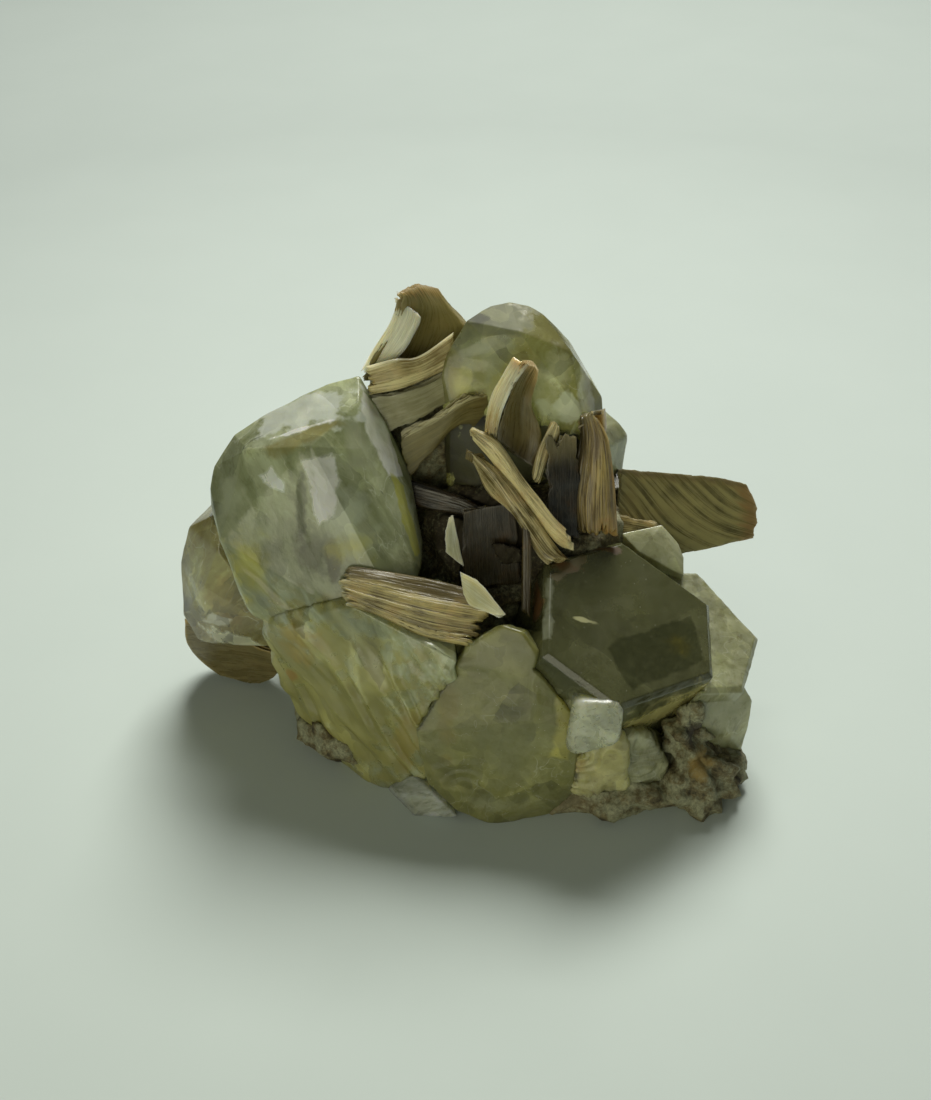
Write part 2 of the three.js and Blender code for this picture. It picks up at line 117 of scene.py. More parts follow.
def mix(tree, share, first, second):
    """The first colour turned into the second by a share from 0 to 1."""
    first, second = (end if isinstance(end, bpy.types.NodeSocket) else (*end, 1) for end in (first, second))
    return add(tree, "MixRGB", share, first, second).outputs[0]


def spread(tree, value, low, high, to_low=0.0, to_high=1.0, kind="LINEAR"):
    """A value between low and high carried over to another range, and held at the ends of it."""
    return add(tree, "MapRange", value, low, high, to_low, to_high, interpolation_type=kind).outputs[0]


def new_material(name):
    """An empty node material, its tree, and the place on the piece in millimetres."""
    made = bpy.data.materials.new(name)
    made.use_nodes = True
    tree = made.node_tree
    tree.nodes.clear()
    return made, tree, vector(tree, "SCALE", add(tree, "TexCoord").outputs["Object"], Scale=1 / MM)


floor = new_object("floor", np.array([[-1, -1, 0], [1, -1, 0], [1, 1, 0], [-1, 1, 0]]) * FLOOR_HALF, [[0, 1, 2, 3]])
floor_paint, tree, where = new_material("floor_paint")
tint = mix(tree, noise(tree, where, Scale=0.06, Detail=4.0), *FLOOR_TINTS)
# painted falloff of the light: the floor's paint darkens away from the middle
tint = vector(tree, "SCALE", tint, Scale=spread(tree, vector(tree, "LENGTH", where), *FLOOR_PAINTED_FALLOFF))
surface = add(tree, "BsdfPrincipled", Base_Color=tint, Roughness=0.9).outputs[0]
add(tree, "OutputMaterial", Surface=surface)
floor.data.materials.append(floor_paint)

world = bpy.data.worlds.new("sky")
scene.world = world
world.use_nodes = True
sky = world.node_tree.nodes["Background"].inputs
sky["Color"].default_value = SKY_TINT
sky["Strength"].default_value = SKY_STRENGTH


def soft_light(name, place, power, size, colour):
    """A square area light at a place, turned towards the specimen."""
    lamp = bpy.data.lights.new(name, "AREA")
    lamp.energy = power
    lamp.size = MM * size
    lamp.color = colour
    made = bpy.data.objects.new(name, lamp)
    made.location = [MM * v for v in place]
    made.rotation_euler = (-made.location).to_track_quat("-Z", "Y").to_euler()
    scene.collection.objects.link(made)


soft_light("window", (45, 270, 400), 2.65, 200, (1.0, 1.0, 0.94))
soft_light("room_side", (-130, -320, 90), 0.49, 300, (1.0, 0.98, 0.76))


# ---------------------------------------------------------------- crystals
# Beryl: hexagonal prisms and lumps of clear to milky grey-green crystal, grown
# together and over the rock. Their faces are even, with worn and chipped edges.

GROWTH_SHIFT = np.array([-0.25, 1.107, 0.0])  # from the frame the crystals are set out in to the specimen's middle
SPAN_LOW, SPAN_HIGH = np.array(cad_box) / MM
CELL_PRIMES = np.array([73856093, 19349663, 83492791])  # with the next two they scatter lattice corners and seeds
SEED_PRIME = 2654435
SCATTER = ((13, 1274126177), (15, 668265263))
WELD, WORN_WELD = 0.001, 0.02
FLAT_ANGLE, EDGE_ANGLE = math.radians(1), math.radians(12)
HEALING_ROUNDS = 70


def grain(points, size, seed):
    """Smooth random heights from -1 to 1: random numbers on a lattice of the given size in millimetres,
    blended between its corners by 3t^2 - 2t^3 along each axis."""
    cell = np.asarray(points) / size
    low = np.floor(cell).astype(np.int64)
    part = cell - low
    part = part * part * (3 - 2 * part)
    total = np.zeros(len(cell))
    for corner in np.ndindex(2, 2, 2):
        key = (low + corner) @ CELL_PRIMES + seed * SEED_PRIME
        for shift, prime in SCATTER:
            key = ((key ^ (key >> shift)) * prime) & 0x7FFFFFFF
        weight = np.prod(np.where(corner, part, 1 - part), axis=1)
        total += ((key >> 8) % 65536 / 32768 - 1) * weight
    return total


def crag(points, size, seed, octaves=4):
    """Ridged heights from -1 to 1: the sum of 1 - 2|grain| over octaves, each half as large as the last."""
    total = sum(0.5**i * (1 - 2 * abs(grain(points, size / 2**i, seed + i))) for i in range(octaves))
    return total / (2 - 0.5 ** (octaves - 1))


def drawn_out(points, direction, stretch):
    """Places pressed together along a direction, so that a pattern read there is drawn out along it."""
    along = np.asarray(direction, float) / np.linalg.norm(direction)
    return points - (points @ along)[:, None] * along * (1 - 1 / stretch)


def arrays_of(mesh):
    """Corner places in millimetres and the triangles of a mesh."""
    points = np.empty(len(mesh.vertices) * 3)
    mesh.vertices.foreach_get("co", points)
    mesh.calc_loop_triangles()
    triangles = np.empty(len(mesh.loop_triangles) * 3, np.int64)
    mesh.loop_triangles.foreach_get("vertices", triangles)
    return points.reshape(-1, 3) / MM, triangles.reshape(-1, 3)


def split_long(points, triangles, longest):
    """Triangles with every edge longer than longest halved, again and again: a triangle with one, two or three
    marked edges becomes two, three or four."""
    while True:
        ends = np.sort(triangles[:, [[0, 1], [1, 2], [2, 0]]].reshape(-1, 2), axis=1)
        keys, which = np.unique(ends[:, 0] * len(points) + ends[:, 1], return_inverse=True)
        ends = np.stack([keys // len(points), keys % len(points)], axis=1)
        marked = np.linalg.norm(points[ends[:, 0]] - points[ends[:, 1]], axis=1) > longest
        if not marked.any():
            return points, triangles
        middle = np.where(marked, len(points) + np.cumsum(marked) - 1, -1)
        points = np.concatenate([points, points[ends[marked]].mean(axis=1)])
        mids = middle[which].reshape(-1, 3)
        count = (mids >= 0).sum(axis=1)
        first = np.where(count == 2, (np.argmin(mids, axis=1) + 1) % 3, np.argmax(mids, axis=1))
        turn = (first[:, None] + np.arange(3)) % 3
        (a, b, c), (ab, bc, ca) = np.take_along_axis(triangles, turn, 1).T, np.take_along_axis(mids, turn, 1).T
        one, two, three = count == 1, count == 2, count == 3
        parts = [triangles[count == 0]]
        for keep, corners in (
            (one, [(a, ab, c), (ab, b, c)]),
            (two, [(ab, b, bc), (a, ab, bc), (a, bc, c)]),
            (three, [(a, ab, ca), (ab, b, bc), (ca, bc, c), (ab, bc, ca)]),
        ):
            parts += [np.stack([side[keep] for side in corner], axis=1) for corner in corners]
        triangles = np.concatenate(parts)


def summed(values, index, count):
    """Rows of values added up by index."""
    return np.stack([np.bincount(index, values[:, k], count) for k in range(values.shape[1])], axis=1)


def skin_normals(points, triangles):
    """Normals at the corners: the mean of the faces round each, weighted by their areas."""
    a, b, c = (points[triangles[:, k]] for k in range(3))
    face = np.repeat(np.cross(b - a, c - a), 3, axis=0)
    total = summed(face, triangles.ravel(), len(points))
    return total / np.maximum(np.linalg.norm(total, axis=1, keepdims=True), 1e-12)


def softened(points, triangles, times):
    """Every corner drawn half way to the mean of its neighbours, a number of times."""
    ends = np.unique(np.sort(triangles[:, [[0, 1], [1, 2], [2, 0]]].reshape(-1, 2), axis=1), axis=0)
    ends = np.concatenate([ends, ends[:, ::-1]])
    degree = np.bincount(ends[:, 0], minlength=len(points))[:, None]
    for _ in range(times):
        points = (points + summed(points[ends[:, 1]], ends[:, 0], len(points)) / degree) / 2
    return points


def merged_form(node, worn):
    """Places and triangles of a node's form with its doubled corners merged and its edges worn round."""
    shape = bmesh.new()
    shape.from_mesh(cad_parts[node].data)
    bmesh.ops.remove_doubles(shape, verts=shape.verts, dist=(WORN_WELD if worn else WELD) * MM)
    if worn:
        bmesh.ops.dissolve_limit(shape, angle_limit=FLAT_ANGLE, verts=shape.verts, edges=shape.edges)
        bmesh.ops.remove_doubles(shape, verts=shape.verts, dist=0.25 * worn * MM)
    mesh = bpy.data.meshes.new(node + "_form")
    shape.to_mesh(mesh)
    shape.free()
    form = bpy.data.objects.new(node + "_form", mesh)
    scene.collection.objects.link(form)
    if worn:
        edge = form.modifiers.new("worn", "BEVEL")
        edge.width = worn * MM
        edge.segments = 3
        edge.limit_method = "ANGLE"
        edge.angle_limit = EDGE_ANGLE
    bpy.context.view_layer.update()
    done = bpy.data.meshes.new_from_object(form.evaluated_get(bpy.context.evaluated_depsgraph_get()))
    points, triangles = arrays_of(done)
    bpy.data.objects.remove(form)
    bpy.data.meshes.remove(mesh)
    bpy.data.meshes.remove(done)
    return points, triangles


def dressed(name, node, finish, points, faces):
    """A piece from its places and faces, kept inside the specimen's span, that stands for a node."""
    points = np.clip(points, SPAN_LOW, SPAN_HIGH)
    made = new_object(name, points, faces)
    triangles = np.concatenate([faces[:, [0, k, k + 1]] for k in range(1, faces.shape[1] - 1)])
    made.data.normals_split_custom_set_from_vertices(skin_normals(points, triangles).tolist())
    made.data.materials.append(finish)
    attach(made, "root")
    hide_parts(node)
    return made


def grow(node, finish, worn, step, relief, soft=0, swell=0.18, healed=None, name=""):
    """The piece for a node: its form with worn edges, split fine, softened, and lifted along its normals by
    swell + relief(places), so that it touches its neighbours where the solids keep apart. healed(places) is how
    far each place follows a much softer form, where two growths run into each other."""
    points, triangles = split_long(*merged_form(node, worn), step)
    if soft:
        points = softened(points, triangles, soft)
    if healed:
        share = healed(points - GROWTH_SHIFT)[:, None]
        points += (softened(points, triangles, HEALING_ROUNDS) - points) * share
    lift = swell + relief(points - GROWTH_SHIFT)
    points = points + skin_normals(points, triangles) * lift[:, None]
    dressed(name or node + "_grown", node, finish, points, triangles)


def steps(points, size, count, seed, rise=0.65):
    """Broken steps from -1 to 1: grain over the size, cut into count ramps that rise for a share of their run and
    drop steeply over the rest."""
    level = grain(points, size, seed) * count
    level = level - np.floor(level)
    return 2 * np.minimum(level / rise, (1 - level) / (1 - rise)) - 1


# Clear beryl lets light through with a grey-green cast. Cloudy zones, stains and frosted breaks lie in it, and some
# patches are painted light and shade: reflections, glints, and the shade of a crease and of the pocket.
YELLOW = (0.60, 0.57, 0.07)
AMBER = (0.42, 0.30, 0.05)
PALE = (0.95, 0.97, 0.84)
MILKY = (0.60, 0.60, 0.30)
CRACK_TINT = (0.82, 0.84, 0.68)
DUST_TINT = (0.88, 0.88, 0.74)
CLEAR_DEPTH = (0.60, 0.62, 0.30)
BERYL_IOR = 1.57
COLUMN_HALF = 4.0  # how far the column of an inner face reaches behind and before it
SHARDS = ((1.25, 1.0), (0.5, 0.6))  # sizes of the curved breaks, in clouds, and their shares


def reckon(tree, operation, *values, clamp=False):
    """The number that an operation gives."""
    return add(tree, "Math", *values, operation=operation, use_clamp=clamp).outputs[0]


def patch(tree, where, wander, place, reach, ragged, crisp):
    """How much a point lies in a soft ellipsoid: 1 inside and 0 past its edge, which wanders by ragged."""
    away = vector(tree, "SUBTRACT", where, tuple(np.array(place) + GROWTH_SHIFT))
    away = vector(tree, "LENGTH", vector(tree, "DIVIDE", away, tuple(reach)))
    edge = reckon(tree, "MULTIPLY_ADD", wander, ragged, away)
    return spread(tree, edge, 1.0, crisp, kind="SMOOTHSTEP")


def inner_face(tree, where, wander, corners, ragged, soft):
    """How much a point lies in the short column that stands on a flat ring of corners: the least of its depths
    behind the column's sides and ends, from 0 at a side to 1 at soft millimetres within it."""
    ring = np.array(corners, float) + GROWTH_SHIFT
    middle = ring.mean(axis=0)
    ahead = np.roll(ring, -1, axis=0)
    up = np.cross(ring - middle, ahead - middle).sum(axis=0)
    inward = np.cross(up, ahead - ring)
    up /= np.linalg.norm(up)
    inward /= np.linalg.norm(inward, axis=1, keepdims=True)
    least = None
    for side, at in [*zip(inward, ring), (up, middle - COLUMN_HALF * up), (-up, middle + COLUMN_HALF * up)]:
        depth = reckon(tree, "SUBTRACT", vector(tree, "DOT_PRODUCT", where, tuple(side)), float(side @ at))
        least = depth if least is None else reckon(tree, "MINIMUM", least, depth)
    least = reckon(tree, "MULTIPLY_ADD", wander, ragged, least)
    return spread(tree, least, 0.0, soft)


def beryl(name, body, cloud, deep, transmission, roughness, absorb, density, patches=(), faces=(), cloud_size=5.0,
          along=(0, 0, 1), stretch=1.0, veils=0.5, cracks=0.35, specks=0.0, skin=0.3, milk=0.6):
    """A beryl finish. body and cloud are the clear and cloudy tints, deep the darker flecks, absorb and density
    the colour that its depth takes on. patches are soft zones (place, reach, colour, share, roughness, crisp) and
    faces are flat-sided ones (corners, colour, share, roughness, soft). The clouds are drawn out along a
    direction. veils is how far curved breaks lighten and darken it, cracks and specks are the shares of bright
    lines and dust, skin is the height of its ripples, and milk is how far light spreads under it."""
    made, tree, where = new_material(name)
    along = np.asarray(along, float) / np.linalg.norm(along)
    run = vector(tree, "DOT_PRODUCT", where, tuple(along))
    pull = vector(tree, "SCALE", tuple(along * (1 - 1 / stretch)), Scale=run)
    drawn = vector(tree, "SUBTRACT", where, pull)
    wander = noise(tree, where, Scale=0.5, Detail=3.0, Roughness=0.55)
    wander = spread(tree, wander, 0.3, 0.7, -1.0, 1.0)

    haze = noise(tree, drawn, Scale=1 / cloud_size, Detail=6.0, Roughness=0.62, Distortion=1.0)
    cloudy = spread(tree, haze, 0.40, 0.64)
    colour = mix(tree, cloudy, body, cloud)
    rough = spread(tree, cloudy, 0.0, 1.0, roughness, roughness + 0.1)
    fleck = noise(tree, drawn, Scale=3.2 / cloud_size, Detail=8.0, Roughness=0.7)
    colour = mix(tree, spread(tree, fleck, 0.52, 0.74, 0.0, 0.8), colour, deep)

    broken = spread(tree, noise(tree, where, Scale=0.22, Detail=2.0), 0.36, 0.56)
    crack = noise(tree, drawn, Scale=0.55 / cloud_size + 0.1, Detail=3.0, Roughness=0.5, Distortion=0.8)
    crack = reckon(tree, "ABSOLUTE", reckon(tree, "SUBTRACT", crack, 0.5))
    crack = spread(tree, crack, 0.008, 0.0, 0.0, cracks)
    colour = mix(tree, reckon(tree, "MULTIPLY", crack, broken), colour, CRACK_TINT)
    if specks:
        dust = add(tree, "TexVoronoi", Vector=where, Scale=1.3).outputs["Distance"]
        colour = mix(tree, spread(tree, dust, 0.07, 0.03, 0.0, specks), colour, DUST_TINT)

    zones = [(patch(tree, where, wander, place, reach, 0.4, crisp), tint, share, matt)
             for place, reach, tint, share, matt, crisp in patches]
    brush = noise(tree, drawn, Scale=1.1, Detail=5.0, Roughness=0.65)
    brush = spread(tree, brush, 0.32, 0.52, 0.65, 1.0)
    for corners, tint, share, matt, soft in faces:
        inside = reckon(tree, "MULTIPLY", inner_face(tree, where, wander, corners, 0.3, soft), brush)
        zones.append((inside, tint, share, matt))
    for inside, tint, share, matt in zones:
        inside = reckon(tree, "MULTIPLY", inside, share)
        colour = mix(tree, inside, colour, tint)
        rough = mix(tree, inside, rough, (matt, matt, matt))

    bend = add(tree, "TexNoise", Vector=where, Scale=0.5, Detail=2.0).outputs["Color"]
    bend = vector(tree, "MULTIPLY_ADD", bend, (1.2, 1.2, 1.2), drawn)
    shade = 1.0
    for size, share in SHARDS:
        shard = add(tree, "TexVoronoi", Vector=bend, Scale=1 / (size * cloud_size)).outputs
        level = add(tree, "SeparateColor", shard["Color"]).outputs[0]
        level = reckon(tree, "MULTIPLY_ADD", shard["Distance"], 0.7, level)
        level = reckon(tree, "MULTIPLY", reckon(tree, "SUBTRACT", level, 0.75), veils * share)
        shade = reckon(tree, "MULTIPLY_ADD", level, broken, shade)
    colour = vector(tree, "SCALE", colour, Scale=shade)

    ripple = noise(tree, drawn, Scale=1.5, Detail=6.0, Roughness=0.55)
    ripple = reckon(tree, "MULTIPLY_ADD", shade, 0.35, ripple)
    bump = add(tree, "Bump", Height=ripple, Strength=skin, Distance=0.12 * MM).outputs[0]
    glass = add(
        tree, "BsdfPrincipled", Base_Color=colour, Roughness=rough, IOR=BERYL_IOR, Normal=bump,
        Transmission_Weight=transmission, Subsurface_Weight=milk, Subsurface_Radius=(1.0, 0.9, 0.5),
        Subsurface_Scale=2.5 * MM,
    ).outputs[0]
    depth = add(tree, "VolumeAbsorption", Color=(*absorb, 1), Density=density).outputs[0]
    add(tree, "OutputMaterial", Surface=glass, Volume=depth)
    return made


# The large crystal: clear and grey above, with a frosted break that is white partly as a painted reflection, a painted
# reflection on its right facet and a painted dark crease on its front. Below it passes into its own broken root, which
# is yellow and milky. The two healed together as they grew.


def glassy_skin(p):
    """Low swells 3 mm long and 0.05 mm high, finer ones on them, and a few curved steps."""
    return 0.05 * grain(p, 3.0, 1) + 0.02 * grain(p, 1.1, 2) + 0.025 * steps(p, 6.0, 2, 3)


def large_skin(p):
    """Glassy above; below z = 20 the broken root, ridged and stepped along its slope by up to 0.8 mm."""
    low = np.clip((21 - p[:, 2] - 0.15 * (p[:, 0] + 8) + 1.5 * grain(p, 4.0, 4)) / 4, 0, 1)
    slope = drawn_out(p, (0.55, -0.3, -0.8), 4)
    broken = 0.32 * crag(slope, 2.9, 5) + 0.25 * steps(slope, 4.2, 2, 6)
    broken = broken + 0.35 * grain(p, 4.5, 7) + 0.06 * grain(p, 1.2, 8)
    return glassy_skin(p) + low * broken


def large_seam(p):
    """1 along the slanting seam in front between the clear crystal and its broken root, and 0 away from it."""
    above = p[:, 2] - 18.5 - 0.45 * (p[:, 0] + 18)
    return np.clip(1.6 - abs(above) / 4, 0, 1) * (p[:, 1] < 2)


large = beryl(
    "large_crystal", (0.31, 0.34, 0.18), (0.54, 0.58, 0.37), (0.16, 0.17, 0.07), 0.34, 0.13, CLEAR_DEPTH, 90,
    patches=[
        ((-11, -9, 8.5), (20, 15, 15), (0.36, 0.34, 0.1), 0.88, 0.32, 0.45),
        ((-22.4, -2.4, 27), (2.6, 3, 4.5), (0.56, 0.6, 0.4), 0.6, 0.2, 0.2),
        ((-11.4, -5.6, 28), (3.6, 2.5, 5), (0.66, 0.72, 0.54), 0.55, 0.25, 0.2),
        # painted shade of the crease down its front, here and in the two thin dark strips below
        ((-14.2, -7, 24.4), (3.2, 2.5, 4.8), (0.11, 0.12, 0.045), 0.8, 0.2, 0.25),
        ((-15.7, 1.6, 35), (8.5, 2.8, 3), (0.8, 0.84, 0.74), 0.75, 0.2, 0.7),
        ((-15.5, -0.7, 34.4), (4.4, 0.35, 1.8), (0.98, 0.98, 0.88), 0.9, 0.3, 0.6),
        # painted shade of the crease, in two thin dark strips
        ((-15.4, -4.9, 28.6), (0.7, 3, 5), (0.1, 0.11, 0.05), 0.7, 0.2, 0.4),
        ((-12.4, -7.6, 24), (0.9, 3, 3.2), (0.12, 0.12, 0.05), 0.7, 0.3, 0.5),
        ((-20.8, -5.4, 22.5), (3, 2.5, 4.4), YELLOW, 0.6, 0.3, 0.15),
        ((-10.8, -6.9, 25.4), (2.8, 2, 2.4), YELLOW, 0.55, 0.3, 0.15),
        ((-16, -9.2, 15.5), (2.8, 3, 3.6), AMBER, 0.55, 0.4, 0.3),
        ((-17.4, -7.3, 10.2), (1, 1.6, 1.2), (0.32, 0.16, 0.03), 0.6, 0.4, 0.4),
        ((-14, -9, 3.8), (3, 3, 2), (0.52, 0.46, 0.1), 0.6, 0.35, 0.4),
        ((-5.5, -14, 8), (2.2, 3, 5), (0.34, 0.27, 0.06), 0.6, 0.4, 0.4),
    ],
    faces=[
        ([(-19.2, -1, 33), (-11.8, -0.3, 35.7), (-10.6, -0.8, 34.9), (-15.4, -2.8, 33.5), (-18.6, -2.2, 32)],
         (0.3, 0.27, 0.1), 0.8, 0.15, 0.5),
        ([(-11.7, -0.5, 35.6), (-10.1, 0.4, 35.9), (-8.8, -1.3, 32.8), (-8.1, -2.9, 30.5), (-11.3, -3.5, 32)],
         (0.42, 0.44, 0.3), 0.7, 0.15, 0.8),
        # the frosted break, painted white partly as the reflection on it
        ([(-15.6, -3.1, 32.8), (-12.2, -2.7, 33.8), (-11.6, -4.1, 31.2), (-12.2, -5.8, 28.2), (-14, -6, 27.2),
          (-14.7, -4.5, 30.1)], (1, 1, 0.94), 1, 0.34, 0.35),
        ([(-19.4, -2.5, 30.7), (-18.2, -2.5, 31.8), (-17.1, -3.4, 30.8), (-16.8, -4, 29.7), (-18.5, -3.5, 29.7)],
         (0.92, 0.96, 0.88), 0.9, 0.3, 0.3),
        # painted reflection on the glassy right facet
        ([(-9.9, 3.4, 37), (-8.8, 2.6, 35), (-7.1, 1.9, 31.8), (-6.1, -0.3, 28.9), (-7.5, -2.1, 30.4),
          (-9.3, -1, 33.7), (-10.1, 0.6, 36)], PALE, 0.95, 0.16, 0.3),
        ([(-7.3, -1.7, 30.3), (-6.2, -1.3, 28.6), (-4.4, -4.5, 22.8), (-5.1, -6.4, 23.6), (-6.2, -4.4, 26.8)],
         (0.5, 0.5, 0.12), 0.85, 0.18, 0.25),
        ([(-13.6, -8.3, 21.5), (-12.3, -8.8, 21.6), (-6.4, -13.6, 14.8), (-7.4, -13.5, 13.4)], MILKY, 0.55, 0.3, 0.5),
        ([(-11.5, -11.1, 17.6), (-10.6, -11.3, 18.3), (-8.8, -13.1, 11.7), (-10.1, -12.3, 10.4)], MILKY, 0.6, 0.3, 0.4),
        ([(-17, -7.3, 18.9), (-15.9, -7.7, 19.5), (-13.1, -10.9, 14.9), (-14.3, -10.1, 13.7)], MILKY, 0.6, 0.3, 0.4),
        ([(-22.3, -4.3, 24.4), (-19.5, -5.3, 24.2), (-18.2, -6.7, 19), (-21, -5.4, 19.2)], YELLOW, 0.4, 0.3, 1),
    ],
    cloud_size=4.5, along=(0.5, -0.3, -0.8), stretch=2.2, veils=0.7, specks=0.6, milk=0.35,
)
grow("large_beryl", large, 0.3, 0.5, large_skin, soft=1, swell=0.2, healed=large_seam)

# The right crystal: a clean dark olive prism with a flat end face, fixed by its root. It has a darker zone and an
# amber glow inside.


def striped_skin(p):
    """Growth lines along the prism, 0.05 mm high."""
    return 0.05 * grain(drawn_out(p, (0.29, -0.31, 0.906), 12), 0.5, 21) + 0.03 * grain(p, 2.5, 22)


def right_skin(p):
    """Growth lines on the sides of the prism, and less than a third of them on its end face."""
    end_height = 19 - 0.3 * (p[:, 0] - 15) + 0.34 * (p[:, 1] + 10)
    return striped_skin(p) * np.where(p[:, 2] > end_height, 0.3, 1)


right = beryl(
    "right_crystal", (0.125, 0.13, 0.052), (0.16, 0.165, 0.075), (0.085, 0.085, 0.03), 0.5, 0.13,
    (0.45, 0.46, 0.2), 160,
    patches=[
        ((10.5, -17.2, 12.5), (4.5, 3.5, 4.5), (0.62, 0.62, 0.36), 0.7, 0.35, 0.4),
        ((20.5, -15, 10.5), (7.5, 5.5, 5), (0.75, 0.66, 0.24), 0.85, 0.3, 0.4),
        ((20.6, -11.2, 17.2), (1.8, 2, 2), (0.3, 0.25, 0.03), 0.8, 0.12, 0.2),
        ((11, -11.3, 20.1), (1.5, 0.3, 1), (0.8, 0.78, 0.42), 0.8, 0.2, 0.5),
        ((9.6, -6, 22.4), (2.2, 0.7, 1.5), (0.2, 0.08, 0.012), 0.9, 0.7, 0.5),
        ((13.2, -2.8, 22), (2.6, 0.6, 1.2), (0.16, 0.07, 0.012), 0.8, 0.7, 0.4),
        ((6.9, -8.4, 20), (0.7, 2.6, 2.4), (0.2, 0.08, 0.012), 0.9, 0.7, 0.4),
    ],
    faces=[
        ([(12.7, -13.5, 18.8), (18.7, -9.5, 18.3), (21.8, -7.8, 17.9), (22.7, -12.4, 16), (15.3, -17.5, 16.6)],
         (0.055, 0.06, 0.02), 0.8, 0.12, 0.3),
        ([(7, -14, 19.9), (7.6, -7.4, 22.2), (8.6, -7.4, 22.1), (8.1, -14.3, 20.2)],
         (0.4, 0.42, 0.28), 0.75, 0.3, 0.3),
        ([(7.6, -7.4, 22.2), (11.4, -3.8, 22.4), (11.8, -4.9, 22), (8.7, -8.4, 22)],
         (0.26, 0.2, 0.07), 0.7, 0.5, 0.3),
    ],
    cloud_size=6, veils=0.3, cracks=0, specks=0.5, skin=0.12, milk=0.1,
)
grow("right_beryl", right, 0.22, 0.5, right_skin)

# The front crystal: a milky green lump with an etched skin, with amber slivers at its left and a yellow strip at
# its right.


def etched_skin(p):
    """Shallow hollows about 3 mm across and 0.1 mm deep, with fine sugar on them."""
    return 0.09 * grain(p, 3.0, 11) + 0.05 * crag(p, 1.4, 12) + 0.05 * steps(p, 4.0, 2, 14) + 0.015 * grain(p, 0.6, 13)


front = beryl(
    "front_crystal", (0.26, 0.26, 0.085), (0.34, 0.34, 0.14), (0.18, 0.165, 0.045), 0.35, 0.34, (0.66, 0.66, 0.34), 80,
    patches=[
        ((-1.6, -15, 12), (1.4, 3, 6), (0.27, 0.21, 0.045), 0.7, 0.35, 0.4),
        ((4.5, -17, 9), (4, 3, 4.5), (0.4, 0.41, 0.2), 0.4, 0.35, 0.2),
        ((3.5, -14.4, 18.4), (3.4, 3, 2.2), (0.32, 0.32, 0.14), 0.5, 0.3, 0.3),
        ((3.6, -16.6, 2.6), (4, 3, 1.6), (0.42, 0.44, 0.27), 0.5, 0.3, 0.3),
    ],
    faces=[
        ([(-1, -14.2, 19.5), (6.6, -15, 19.5), (8.2, -16.4, 15.2), (7.6, -17.3, 8.9), (3.4, -17.6, 3),
          (-0.2, -17, 5), (-4.4, -15.5, 11.6)], (0.27, 0.27, 0.085), 0.35, 0.35, 0.4),
        ([(-4.4, -15.5, 11.2), (-0.2, -17, 4.6), (3, -17.6, 2.6), (-2.4, -16.8, 3.8), (-6, -15.5, 8.5)],
         (0.4, 0.39, 0.15), 0.6, 0.3, 0.3),
        ([(8.4, -17, 15.8), (10.6, -17, 15.2), (9.9, -17.4, 8), (7.9, -17.5, 8.7)],
         (0.56, 0.52, 0.14), 0.8, 0.25, 0.4),
    ],
    cloud_size=3.2, veils=0.6, cracks=0.3, specks=1, skin=0.5, milk=0.7,
)
grow("front_beryl", front, 0.14, 0.36, etched_skin, swell=0.25)

# The crystal at the top: a rounded clear dome behind the pocket, with grey haze at its upper left and bright
# flecks. Two bright patches high on its front are painted glints, and its lower part carries the painted shade of the
# pocket.
dome = beryl(
    "dome_crystal", (0.40, 0.38, 0.13), (0.54, 0.53, 0.24), (0.22, 0.20, 0.055), 0.55, 0.16, CLEAR_DEPTH, 90,
    patches=[
        ((0.8, 5, 40.6), (2.6, 4, 2.2), (0.36, 0.39, 0.26), 0.7, 0.25, 0.4),
        # painted glints: this bright patch and the next
        ((8.6, 3.6, 38.8), (2.2, 3, 3), (0.96, 0.94, 0.62), 0.7, 0.25, 0.2),
        ((5.4, 3.2, 38.2), (2.4, 3, 2.4), (0.88, 0.8, 0.4), 0.75, 0.2, 0.2),
        ((9.8, 2.6, 34.8), (1.6, 3, 1.9), (0.9, 0.93, 0.74), 0.8, 0.2, 0.7),
        ((-0.6, 3.5, 37.2), (1.4, 3, 1.6), (0.78, 0.72, 0.26), 0.7, 0.3, 0.6),
        # painted shade of the pocket on the dome's lower part
        ((3, 2, 29.6), (9, 5, 4.6), (0.02, 0.016, 0.008), 0.98, 0.5, 0.85),
        ((2.8, 6.4, 43.4), (5.2, 5, 3), (0.28, 0.29, 0.15), 0.9, 0.75, 0.5),
    ],
    faces=[
        ([(10.2, 6.7, 39), (11.9, 6, 37.6), (12.6, 3.6, 34), (10.9, 3.2, 33.4), (10.4, 3.6, 35.8)],
         PALE, 0.7, 0.15, 0.3),
        ([(5.9, 3.2, 35.8), (7.9, 2.8, 36), (9.6, 2.6, 34.2), (8.6, 2.6, 33)], (0.66, 0.68, 0.46), 0.7, 0.15, 0.3),
        ([(1.2, 4.4, 40.8), (3.7, 5.3, 42.5), (5.1, 3.9, 41.1), (3.6, 3.6, 38.5), (1.9, 3.5, 36.5)],
         (0.42, 0.44, 0.28), 0.6, 0.15, 0.5),
        ([(-1.6, 4.6, 38.6), (-0.3, 4.2, 38.5), (0.6, 3.6, 36.9), (-0.3, 3.2, 35.6), (-1.5, 3.6, 35.5)],
         (0.74, 0.66, 0.22), 0.7, 0.2, 0.3),
    ],
    cloud_size=3.6, veils=0.8, cracks=0.5, specks=0.9, milk=0.2,
)
grow("top_beryl", dome, 0.35, 0.42, glassy_skin, soft=3)
